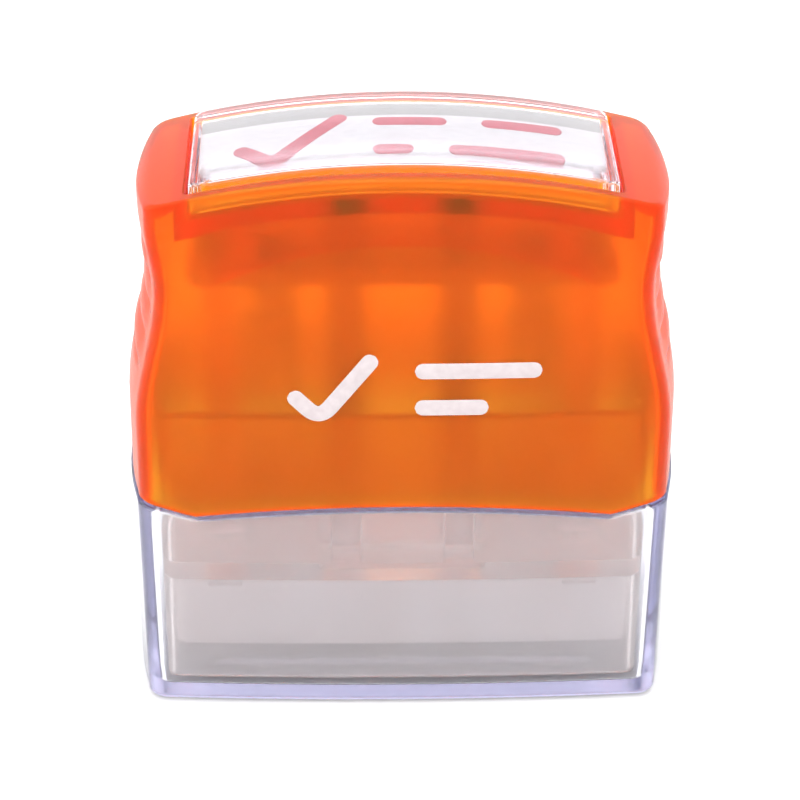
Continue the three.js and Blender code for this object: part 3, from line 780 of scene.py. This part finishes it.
def with_ridges(ring):
    """Presses the grip ridges, and the grooves between them, into the ends of the handle."""
    x, y, z = ring.T
    relief = np.zeros(len(ring))
    for i in range(RIDGE_COUNT):
        offset = (z - (RIDGE_TOP_Z - i * RIDGE_PITCH)) / (RIDGE_HEIGHT / 2)
        lobe = np.clip(1 - np.square(offset), 0, 1) ** 0.6
        relief = np.maximum(relief, lobe)
    zone_top = RIDGE_TOP_Z + RIDGE_PITCH / 2
    zone_bottom = zone_top - RIDGE_COUNT * RIDGE_PITCH
    above_bottom = smoothstep(z, zone_bottom - RIDGE_BLEND, zone_bottom + RIDGE_BLEND)
    below_top = 1 - smoothstep(z, zone_top - RIDGE_BLEND, zone_top + RIDGE_BLEND)
    end = 1 - smoothstep(np.abs(y), RIDGE_HALF_LENGTH - 2 * RIDGE_BLEND, RIDGE_HALF_LENGTH)
    side = smoothstep(np.abs(x), WAIST_HALF_WIDTH - 4 * RIDGE_BLEND, WAIST_HALF_WIDTH - RIDGE_BLEND)
    depth = relief * (RIDGE_PROUD + RIDGE_GROOVE) - RIDGE_GROOVE
    push = depth * above_bottom * below_top * end * side
    return np.column_stack([x + np.sign(x) * push, y, z])


def pocket_and_rim_rings(edge):
    """From the pocket's floor up its wall and out over the rounded rim to the handle's edge."""
    front_share = facing_front(shell_plan())
    pocket = barrel(POCKET_HALF_WIDTH, POCKET_HALF_DEPTH, radius=0.5)
    mouth = barrel(POCKET_HALF_WIDTH + MOUTH_BREAK, POCKET_HALF_DEPTH + MOUTH_BREAK, radius=0.7)
    rings = [raised(pocket, arch(POCKET_ARCH, pocket[:, 0]))]
    rings.append(raised(pocket, rim_level(*pocket.T) - MOUTH_BREAK))
    for share in np.linspace(1, 0, 16)[:-1]:
        plan = edge[:, :2] + (mouth - edge[:, :2]) * share ** 2
        away = np.linalg.norm(plan - edge[:, :2], axis=1)
        short = np.clip(RIM_EDGE_RADIUS - away, 0, RIM_EDGE_RADIUS)
        drop = RIM_EDGE_RADIUS - np.sqrt(RIM_EDGE_RADIUS ** 2 - np.square(short))
        rings.append(raised(plan, rim_level(*plan.T) - drop * front_share))
    return rings


def outer_wall_rings(edge_z, base_z):
    """From the rim down the ridged outside, and across the handle's lower edge."""
    rings = []
    for share in np.linspace(0, 1, 96):
        rings.append(with_ridges(shell_ring(edge_z + (base_z + RIM_BREAK - edge_z) * share)))
    for inset in (RIM_BREAK, SHELL_WALL - RIM_BREAK):
        rings.append(shell_ring(base_z, inset, inset))
    return rings


def inner_wall_rings(base_z):
    """Up the inside to the inner arch, on up the thicker walls, and over under the roof and the deck."""
    rings = []
    inner_top = inner_arch(shell_plan(SHELL_WALL, SHELL_WALL)[:, 0])
    wall_foot = base_z + RIM_BREAK
    for share in np.linspace(0, 1, 24):
        rings.append(shell_ring(wall_foot + (inner_top - wall_foot) * share, SHELL_WALL, SHELL_WALL))
    upper_plan = upper_ring(WAIST_Z)
    outside_box = np.abs(upper_plan[:, 0]) > POCKET_BOX_HALF_WIDTH
    under_roof = arch(ROOF_ARCH, upper_plan[:, 0]) - RIM_EDGE_RADIUS
    ceiling = np.where(outside_box, under_roof, arch(DECK_ARCH, upper_plan[:, 0]))
    for share in np.linspace(0, 1, 10):
        rings.append(upper_ring(inner_top + (ceiling - inner_top) * share))
    box_x = np.clip(rings[-1][:, 0], -POCKET_BOX_HALF_WIDTH, POCKET_BOX_HALF_WIDTH)
    box_plan = np.column_stack([box_x, rings[-1][:, 1]])
    rings.append(raised(box_plan, np.where(outside_box, arch(ROOF_ARCH, box_x), arch(DECK_ARCH, box_x))))
    rings.append(raised(box_plan, arch(DECK_ARCH, box_x)))
    return rings


def handle_shell():
    """Hollow waisted handle with the window's pocket in its top and two refill holes in the deck."""
    edge_z = shell_edge_level()
    base_z = joint_level(shell_plan()[:, 0]) + GAP
    rings = pocket_and_rim_rings(shell_ring(edge_z))
    rings += outer_wall_rings(edge_z, base_z)
    rings += inner_wall_rings(base_z)
    shell = ring_stack("shell", rings)

    holes = []
    seat = PLUG_HIGH[2] - PLUG_HEAD_THICKNESS - GAP
    for side in (-1, 1):
        holes.append(rod(side * PLUG_X, 0, PLUG_HEAD_RADIUS + GAP, seat, TOTAL_HEIGHT))
        holes.append(rod(side * PLUG_X, 0, TUBE_BORE, WAIST_Z, TOTAL_HEIGHT))
    combine(shell, holes, "DIFFERENCE")
    material = translucent_orange()
    return place(shell, "handle_shell_body", "handle", material, "handle_shell")


def front_mark():
    """Generic print on the front: a tick and two bars."""
    mark = strokes_object("front_mark", FRONT_MARK, MARK_WIDTH, shell_front, INK_THICKNESS)
    ink = print_ink("front_ink", (0.36, 0.31, 0.31), (0.41, 0.36, 0.36))
    return place(mark, "front_mark", "handle", ink, None)


def arched_slab(name, low_arch, high_arch, half_width, half_depth, radius, edge):
    """Thin slab that follows the top arches, with softened edges."""
    rings = []
    for inset, level in edge_profile(low_arch, high_arch, edge):
        plan = barrel(half_width - inset, half_depth - inset, radius=max(radius - inset, 0.05))
        rings.append(raised(plan, arch(level, plan[:, 0])))
    return ring_stack(name, rings)


def label_card():
    """Curved card in the pocket under the window."""
    top = CARD_HIGH[2] - ARCH_CENTRE_Z
    low = top - CARD_THICKNESS
    card = arched_slab("card", low, top, CARD_HIGH[0], CARD_HIGH[1], radius=0.3, edge=0.08)
    return place(card, "label_paper_card", "handle", label_paper(), "label_card")


def label_mark():
    """Generic print on the card: a tick and four bars."""
    mark = strokes_object("label_mark", LABEL_MARK, MARK_WIDTH, card_top, INK_THICKNESS)
    ink = print_ink("label_ink", (0.46, 0.05, 0.08), (0.58, 0.1, 0.14))
    return place(mark, "label_mark", "handle", ink, None)


def refill_plugs():
    """Stopper with a tapered tip and a dimpled head in each refill hole."""
    head = edge_profile(PLUG_HIGH[2] - PLUG_HEAD_THICKNESS, PLUG_HIGH[2], 0.1)
    stem_radius = TUBE_BORE - GAP
    dimple_radius = PLUG_HEAD_RADIUS / 3
    dimple_z = PLUG_HIGH[2] - 0.15
    profile = [
        (0, PLUG_LOW[2]),
        (0.7 * stem_radius, PLUG_LOW[2]),
        (stem_radius, PLUG_LOW[2] + 0.4),
        (stem_radius, PLUG_HIGH[2] - PLUG_HEAD_THICKNESS),
        *[(PLUG_HEAD_RADIUS - inset, z) for inset, z in head],
        (dimple_radius + 0.1, PLUG_HIGH[2]),
        (dimple_radius, dimple_z),
        (0, dimple_z),
    ]
    material = rubber()
    for side, name in ((-1, "refill_plug_left"), (1, "refill_plug_right")):
        plug = lathe("plug", side * PLUG_X, 0, profile)
        place(plug, f"{name}_body", "handle", material, name)


def inner_carrier():
    """Plate with two legs, two spring posts, two refill tubes and four standoffs."""
    half_width, half_depth = CARRIER_HIGH[:2]
    levels = (PLATE_BOTTOM_Z, PLATE_TOP_Z)
    carrier = block("plate", (0, 0), half_width, half_depth, *levels, radius=1.0, edge=0.25)
    parts = []
    bores = []
    into_plate = PLATE_TOP_Z - OVERLAP
    tube_top = CARRIER_HIGH[2]
    tube_bottom = MOUNT_HIGH[2] + GAP
    standoff_top = arch(DECK_ARCH, STANDOFF_X + STANDOFF_RADIUS) - GAP
    leg_foot = CARRIER_LOW[2]
    for side in (-1, 1):
        leg_at = (side * LEG_X, 0)
        parts.append(block("leg", leg_at, LEG_HALF_WIDTH, LEG_HALF_DEPTH, leg_foot, into_plate))
        parts.append(rod(side * SPRING_X, 0, POST_RADIUS, POST_FOOT_Z, into_plate, edge=0.3))
        parts.append(rod(side * PLUG_X, 0, TUBE_RADIUS, tube_bottom, tube_top))
        bores.append(rod(side * PLUG_X, 0, TUBE_BORE, tube_bottom - OVERCUT, tube_top + OVERCUT))
        for front in (-1, 1):
            foot = PLATE_BOTTOM_Z + OVERLAP
            standoff = rod(side * STANDOFF_X, front * STANDOFF_Y, STANDOFF_RADIUS, foot, standoff_top)
            parts.append(standoff)
    combine(carrier, parts, "UNION")
    combine(carrier, bores, "DIFFERENCE")
    material = milky_plastic()
    return place(carrier, "inner_carrier_body", "handle", material, "inner_carrier")


def die_mount():
    """White tray, open below, with slots for the carrier's legs, ink holes and thumb notches."""
    outside = []
    for inset, z in edge_profile(MOUNT_LOW[2], MOUNT_HIGH[2], 0.35):
        half_width = MOUNT_HALF_WIDTH - inset
        half_depth = MOUNT_HALF_DEPTH - inset
        plan = barrel(half_width, half_depth, SKIRT_SIDE_BOW, MOUNT_FRONT_BOW, 1.0)
        outside.append(raised(plan, z))
    mount = ring_stack("mount", outside)
    roof = MOUNT_HIGH[2] - MOUNT_WALL
    half_width = MOUNT_HALF_WIDTH - MOUNT_WALL
    half_depth = MOUNT_HALF_DEPTH - MOUNT_WALL
    cuts = [block("hollow", (0, 0), half_width, half_depth, MOUNT_LOW[2] - OVERCUT, roof, edge=0.1)]
    slot_half_width = LEG_HALF_WIDTH + GAP
    slot_half_depth = LEG_HALF_DEPTH + GAP
    top = MOUNT_HIGH[2] + OVERCUT
    notch_floor = MOUNT_HIGH[2] - NOTCH_DEPTH
    for side in (-1, 1):
        at = (side * LEG_X, 0)
        cuts.append(block("slot", at, slot_half_width, slot_half_depth, roof - OVERCUT, top))
        cuts.append(rod(side * PLUG_X, 0, TUBE_BORE, roof - OVERCUT, top))
        for front in (-1, 1):
            at = (side * LEG_X, front * (MOUNT_HALF_DEPTH + OVERLAP))
            cuts.append(block("notch", at, LEG_HALF_WIDTH, 0.6, notch_floor, top, radius=0.15, edge=0.1))
    combine(mount, cuts, "DIFFERENCE")
    material = white_plastic("white_plastic", (0.78, 0.78, 0.81))
    return place(mount, "die_mount_body", "handle", material, "die_mount")


def soft_pad(name, low, high, body, material, stands_for):
    """Foam pad with rounded edges and a slightly dished top."""
    rings = []
    for inset, z in edge_profile(low[2], high[2], 0.25):
        plan = barrel(high[0] - inset, high[1] - inset, radius=0.6)
        rings.append(raised(plan, z))
    for share in (0.9, 0.7, 0.5, 0.3, 0.1):
        plan = barrel(high[0] * share, high[1] * share, radius=0.5)
        rings.append(raised(plan, high[2] - PAD_DISH * (1 - share)))
    pad = ring_stack(name, rings)
    return place(pad, name, body, material, stands_for)


def ink_sponge():
    """Soaked pad above the die."""
    material = porous("ink_sponge", (0.3, 0.03, 0.06), (0.48, 0.07, 0.11), 1500)
    name = "ink_sponge"
    sponge = soft_pad(f"{name}_pad", SPONGE_LOW, SPONGE_HIGH, "handle", material, name)
    return sponge


def flash_die():
    """Die: a flange, and the face that prints, whose raised mark is mirrored."""
    def outline(half_width, half_depth, z, inset=0.0):
        return raised(barrel(half_width - inset, half_depth - inset, radius=0.8 - inset), z)

    flange_bottom = BEZEL_HIGH[2] + GAP
    face = (FACE_HALF_WIDTH, FACE_HALF_DEPTH)
    flange = (DIE_HIGH[0], DIE_HIGH[1])
    face_z = DIE_LOW[2] + DIE_RELIEF
    die = ring_stack("die", [
        outline(*face, face_z, DIE_EDGE),
        outline(*face, face_z + DIE_EDGE),
        outline(*face, flange_bottom),
        outline(*flange, flange_bottom),
        outline(*flange, DIE_HIGH[2] - DIE_EDGE),
        outline(*flange, DIE_HIGH[2], DIE_EDGE),
    ])
    material = porous("die_foam", (0.22, 0.02, 0.05), (0.34, 0.05, 0.09), 3200)
    place(die, "flash_die_body", "handle", material, "flash_die")
    relief = strokes_object("relief", LABEL_MARK, MARK_WIDTH, die_mark_surface, DIE_RELIEF)
    raised_material = porous("die_print_face", (0.34, 0.03, 0.06), (0.5, 0.07, 0.1), 3200)
    place(relief, "flash_die_relief", "handle", raised_material, None)


def die_mark_surface(x, y, height):
    """Point below the die's sunk face, mirrored as a stamp's is."""
    return -x, y, DIE_LOW[2] + DIE_RELIEF - height


def die_bezel():
    """Frame round the die's printing face."""
    half_width, half_depth = BEZEL_HIGH[:2]
    opening_half_width = FACE_HALF_WIDTH + GAP
    opening_half_depth = FACE_HALF_DEPTH + GAP
    rings = []
    for inset, z in edge_profile(BEZEL_LOW[2], BEZEL_HIGH[2], 0.2):
        rings.append(raised(barrel(half_width - inset, half_depth - inset, radius=0.8), z))
    for inset, z in reversed(edge_profile(BEZEL_LOW[2], BEZEL_HIGH[2], 0.15)):
        plan = barrel(opening_half_width + inset, opening_half_depth + inset, radius=0.8)
        rings.append(raised(plan, z))
    bezel = ring_stack("bezel", rings, loop=True)
    material = white_plastic("bezel_plastic", (0.8, 0.8, 0.83))
    return place(bezel, "die_bezel_body", "handle", material, "die_bezel")


# ---------- springs ----------

ACTIVE_TURNS = 9
CLOSED_TURNS = 1.25
COIL_STEPS = 28


def coil_line(x):
    """Centre line of a compression spring whose end turns are closed."""
    low = SPRING_LOW[2] + WIRE_RADIUS
    high = SPRING_HIGH[2] - WIRE_RADIUS
    radius = SPRING_RADIUS - WIRE_RADIUS
    turns = ACTIVE_TURNS + 2 * CLOSED_TURNS
    closed_rise = CLOSED_TURNS * 2 * WIRE_RADIUS * 1.05
    points = []
    for t in np.linspace(0, turns, int(turns * COIL_STEPS) + 1):
        angle = 2 * math.pi * t
        stops = (0, CLOSED_TURNS, turns - CLOSED_TURNS, turns)
        z = np.interp(t, stops, (low, low + closed_rise, high - closed_rise, high))
        points.append((x + radius * math.cos(angle), radius * math.sin(angle), z))
    return np.array(points)


def wire(name, line, radius, sides=12):
    """Round wire along a line that turns about an upright axis."""
    ahead = np.gradient(line, axis=0)
    ahead /= np.linalg.norm(ahead, axis=1)[:, None]
    outward = np.cross(ahead, (0, 0, 1))
    outward /= np.linalg.norm(outward, axis=1)[:, None]
    upward = np.cross(outward, ahead)
    angles = np.linspace(0, 2 * math.pi, sides, endpoint=False)
    points = []
    for centre, out, up in zip(line, outward, upward):
        points.extend(centre + radius * (math.cos(a) * out + math.sin(a) * up) for a in angles)
    return mesh_object(name, points, ends(len(line), sides) + bands(len(line), sides))


def return_springs():
    """A coil spring with closed end turns on each side, each given a mesh of its own."""
    material = spring_steel()
    for side, name in ((-1, "return_spring_left"), (1, "return_spring_right")):
        spring = wire("spring", coil_line(side * SPRING_X), WIRE_RADIUS)
        place(spring, f"{name}_coil", "handle", material, name)
        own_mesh(spring)


# ---------- pieces that move ----------

def window_lens():
    """Clear cover, open below, over the label."""
    low = WINDOW_ARCH - WINDOW_HEIGHT
    rings = []
    for inset, level in reversed(edge_profile(low, WINDOW_ARCH, 0.3)):
        plan = barrel(WINDOW_HIGH[0] - inset, WINDOW_HIGH[1] - inset, radius=0.7 - inset)
        rings.append(raised(plan, arch(level, plan[:, 0])))
    ceiling = WINDOW_ARCH - WINDOW_TOP_THICKNESS
    inside = [(-LIP_BREAK, low), (0, low + LIP_BREAK), (0, ceiling - LIP_BREAK), (LIP_BREAK, ceiling)]
    for inset, level in inside:
        wall = WINDOW_WALL + inset
        plan = barrel(WINDOW_HIGH[0] - wall, WINDOW_HIGH[1] - wall, radius=0.4)
        rings.append(raised(plan, arch(level, plan[:, 0])))
    lens = ring_stack("lens", rings)
    return place(lens, "window_lens_body", "window", clear_window(), "window_lens")


def cap_ring(inset, z, radius):
    """The cap's outline at a level, which widens upwards by the draft."""
    plan = barrel(CAP_HALF_WIDTH - inset, CAP_HALF_DEPTH - inset, SIDE_BOW, FRONT_BOW, radius)
    z = np.broadcast_to(z, len(plan))
    along_x = 1 + CAP_SIDE_DRAFT * z / (CAP_HALF_WIDTH - inset)
    along_y = 1 + CAP_FRONT_DRAFT * z / (CAP_HALF_DEPTH - inset)
    return np.column_stack([plan[:, 0] * along_x, plan[:, 1] * along_y, z])


def dust_cap():
    """Clear cap: rounded foot, thin walls up to the joint line, and a shallow rise under the die."""
    foot = CAP_EDGE_RADIUS
    rim = joint_level(cap_ring(0, 0, CORNER_RADIUS)[:, 0])
    wall_top = rim - CAP_RIM_RISE
    rings = []
    for turn in np.linspace(0, math.pi / 2, 7):
        rings.append(cap_ring(foot * (1 - math.sin(turn)), foot * (1 - math.cos(turn)), CORNER_RADIUS))
    for share in np.linspace(0, 1, 16)[1:]:
        rings.append(cap_ring(0, foot + (wall_top - foot) * share, CORNER_RADIUS))
    for turn in np.linspace(0, math.pi, 7)[1:]:
        inset = CAP_WALL / 2 * (1 - math.cos(turn))
        rings.append(cap_ring(inset, wall_top + CAP_RIM_RISE * math.sin(turn), CORNER_RADIUS - inset / 2))

    inner_radius = CORNER_RADIUS - CAP_WALL / 2
    wall_foot = CAP_FLOOR + CAP_FLOOR_FILLET
    for share in np.linspace(0, 1, 12)[1:]:
        rings.append(cap_ring(CAP_WALL, wall_top + (wall_foot - wall_top) * share, inner_radius))
    for turn in np.linspace(0, math.pi / 2, 4)[1:]:
        inset = CAP_WALL + CAP_FLOOR_FILLET * (1 - math.cos(turn))
        rings.append(cap_ring(inset, wall_foot - CAP_FLOOR_FILLET * math.sin(turn), inner_radius))
    for share in np.linspace(0, 1, 9):
        inset = share * CAP_TRAY_SLOPE
        plan = barrel(FACE_HALF_WIDTH - inset, FACE_HALF_DEPTH - inset)
        rings.append(raised(plan, CAP_FLOOR + CAP_TRAY_RISE * smoothstep(share, 0, 1)))
    cap = ring_stack("cap", rings)
    return place(cap, "dust_cap_body", "cap", clear_cap(), "dust_cap")


def skirt_ring(inset, z):
    """The skirt's outline at a level, shrunk by the inset."""
    radius = max(SKIRT_CORNER_RADIUS - inset, 0.4)
    half_width = SKIRT_HALF_WIDTH - inset
    half_depth = SKIRT_HALF_DEPTH - inset
    return raised(barrel(half_width, half_depth, SKIRT_SIDE_BOW, SKIRT_FRONT_BOW, radius), z)


def skirt():
    """The stamp's foot: a barrel-sided sleeve, with a shelf, spring pegs and guide ribs inside."""
    wall = edge_profile(SKIRT_LOW[2], SKIRT_HIGH[2], 0.2)
    rings = [skirt_ring(inset, z) for inset, z in wall]
    rings += [skirt_ring(SKIRT_WALL - inset, z) for inset, z in reversed(wall)]
    sleeve = ring_stack("sleeve", rings, loop=True)
    shelf = ring_stack("shelf", [skirt_ring(SKIRT_WALL / 2, z) for z in (SHELF_BOTTOM_Z, SHELF_TOP_Z)])

    low = SHELF_BOTTOM_Z - OVERCUT
    high = SHELF_TOP_Z + OVERCUT
    tube_room = (SHELF_WINDOW_HALF_WIDTH, SHELF_WINDOW_HALF_DEPTH)
    windows = [block("window", (0, 0), *tube_room, low, high, radius=0.8)]
    leg_room = (LEG_HALF_WIDTH + 2 * GAP, LEG_HALF_DEPTH + 2 * GAP)
    pegs = []
    ribs = []
    foot = SHELF_BOTTOM_Z + OVERLAP
    rib_top = SKIRT_HIGH[2] - RIB_SHORT
    rib_size = (RIB_HALF_WIDTH, RIB_HALF_DEPTH)
    for side in (-1, 1):
        windows.append(block("window", (side * LEG_X, 0), *leg_room, low, high, radius=0.5))
        pegs.append(rod(side * SPRING_X, 0, POST_RADIUS, foot, SHELF_TOP_Z + PEG_HEIGHT, edge=0.4))
        for front in (-1, 1):
            at = (side * PLUG_X, front * (SKIRT_HALF_DEPTH - SKIRT_WALL))
            ribs.append(block("rib", at, *rib_size, foot, rib_top, radius=0.2, edge=0.15))
    combine(shelf, windows, "DIFFERENCE")
    combine(sleeve, [shelf, *pegs, *ribs], "UNION")
    return place(sleeve, "skirt_sleeve", "skirt", skirt_plastic(), "skirt")


# ---------- stage, light and camera ----------

def floor():
    """Pale floor just below the cap's foot."""
    size = 3.0
    mesh = bpy.data.meshes.new("floor")
    level = -0.05 * MM
    corners = [(-size, -size, level), (size, -size, level), (size, size, level), (-size, size, level)]
    mesh.from_pydata(corners, [], [(0, 1, 2, 3)])
    plane = bpy.data.objects.new("floor", mesh)
    bpy.context.scene.collection.objects.link(plane)
    plane.data.materials.append(floor_paper())


def sky():
    """White studio: brightest overhead, cooler and dimmer towards the horizon."""
    world = bpy.data.worlds.new("studio")
    bpy.context.scene.world = world
    world.use_nodes = True
    tree = world.node_tree
    coordinates = tree.nodes.new("ShaderNodeTexCoord")
    split = tree.nodes.new("ShaderNodeSeparateXYZ")
    ramp = tree.nodes.new("ShaderNodeValToRGB")
    tree.links.new(coordinates.outputs["Generated"], split.inputs["Vector"])
    tree.links.new(split.outputs["Z"], ramp.inputs["Fac"])
    stops = ramp.color_ramp.elements
    stops[0].position = 0.0
    stops[0].color = (0.6, 0.61, 0.65, 1)
    stops[1].position = 0.9
    stops[1].color = (1.0, 1.0, 1.0, 1)
    for position, level in ((0.25, 0.56), (0.5, 0.2)):
        stops.new(position).color = (level, level, 1.05 * level, 1)
    tree.links.new(ramp.outputs["Color"], tree.nodes["Background"].inputs["Color"])
    tree.nodes["Background"].inputs["Strength"].default_value = 3.1


def softbox(name, place_at, target, width, height, power):
    """Rectangular lamp that faces a target."""
    data = bpy.data.lights.new(name, "AREA")
    data.shape = "RECTANGLE"
    data.size = width
    data.size_y = height
    data.energy = power
    light = bpy.data.objects.new(name, data)
    bpy.context.scene.collection.objects.link(light)
    light.location = place_at
    light.rotation_euler = (Vector(target) - Vector(place_at)).to_track_quat("-Z", "Y").to_euler()


# Elevation, azimuth and roll in degrees; target and distance in heights of the stamp.
CAMERA_ANGLES = (30, -1.23, 0.3)
CAMERA_TARGET = (-0.0022, 0, 0.4866)
CAMERA_DISTANCE = 4.83
CAMERA_LENS = 127.05


def camera(height):
    """Long lens from above the front, turned and rolled very slightly."""
    elevation, azimuth, roll = (math.radians(angle) for angle in CAMERA_ANGLES)
    target = Vector([share * height for share in CAMERA_TARGET])
    toward = Vector((
        math.sin(azimuth) * math.cos(elevation),
        -math.cos(azimuth) * math.cos(elevation),
        math.sin(elevation),
    ))
    right = Vector((0, 0, 1)).cross(toward).normalized()
    up = toward.cross(right)
    turned_right = math.cos(roll) * right + math.sin(roll) * up
    turned_up = math.cos(roll) * up - math.sin(roll) * right
    data = bpy.data.cameras.new("camera")
    data.lens = CAMERA_LENS
    data.clip_start = 0.01
    eye = bpy.data.objects.new("camera", data)
    bpy.context.scene.collection.objects.link(eye)
    turn = Matrix((turned_right, turned_up, toward)).transposed().to_4x4()
    eye.matrix_world = Matrix.Translation(target + toward * CAMERA_DISTANCE * height) @ turn
    bpy.context.scene.camera = eye


def studio():
    """Stage, lights, camera and the bounces that clear plastic needs."""
    height = TOTAL_HEIGHT * MM
    scene = bpy.context.scene
    scene.view_settings.view_transform = "Standard"
    scene.cycles.max_bounces = 24
    scene.cycles.transmission_bounces = 24
    scene.cycles.glossy_bounces = 16
    floor()
    sky()
    middle = (0, 0, height / 2)
    softbox("top_softbox", (0, 0.15, 0.7), middle, 0.7, 0.5, 1.5)
    softbox("front_softbox", (0, -0.6, 0.45), middle, 0.8, 0.4, 4.5)
    softbox("left_strip", (-0.5, -0.15, 0.3), middle, 0.12, 0.5, 1.2)
    softbox("right_strip", (0.5, -0.05, 0.3), middle, 0.12, 0.5, 0.3)
    camera(height)


handle_shell()
front_mark()
label_card()
label_mark()
refill_plugs()
inner_carrier()
die_mount()
ink_sponge()
flash_die()
die_bezel()
return_springs()
window_lens()
dust_cap()
skirt()
studio()
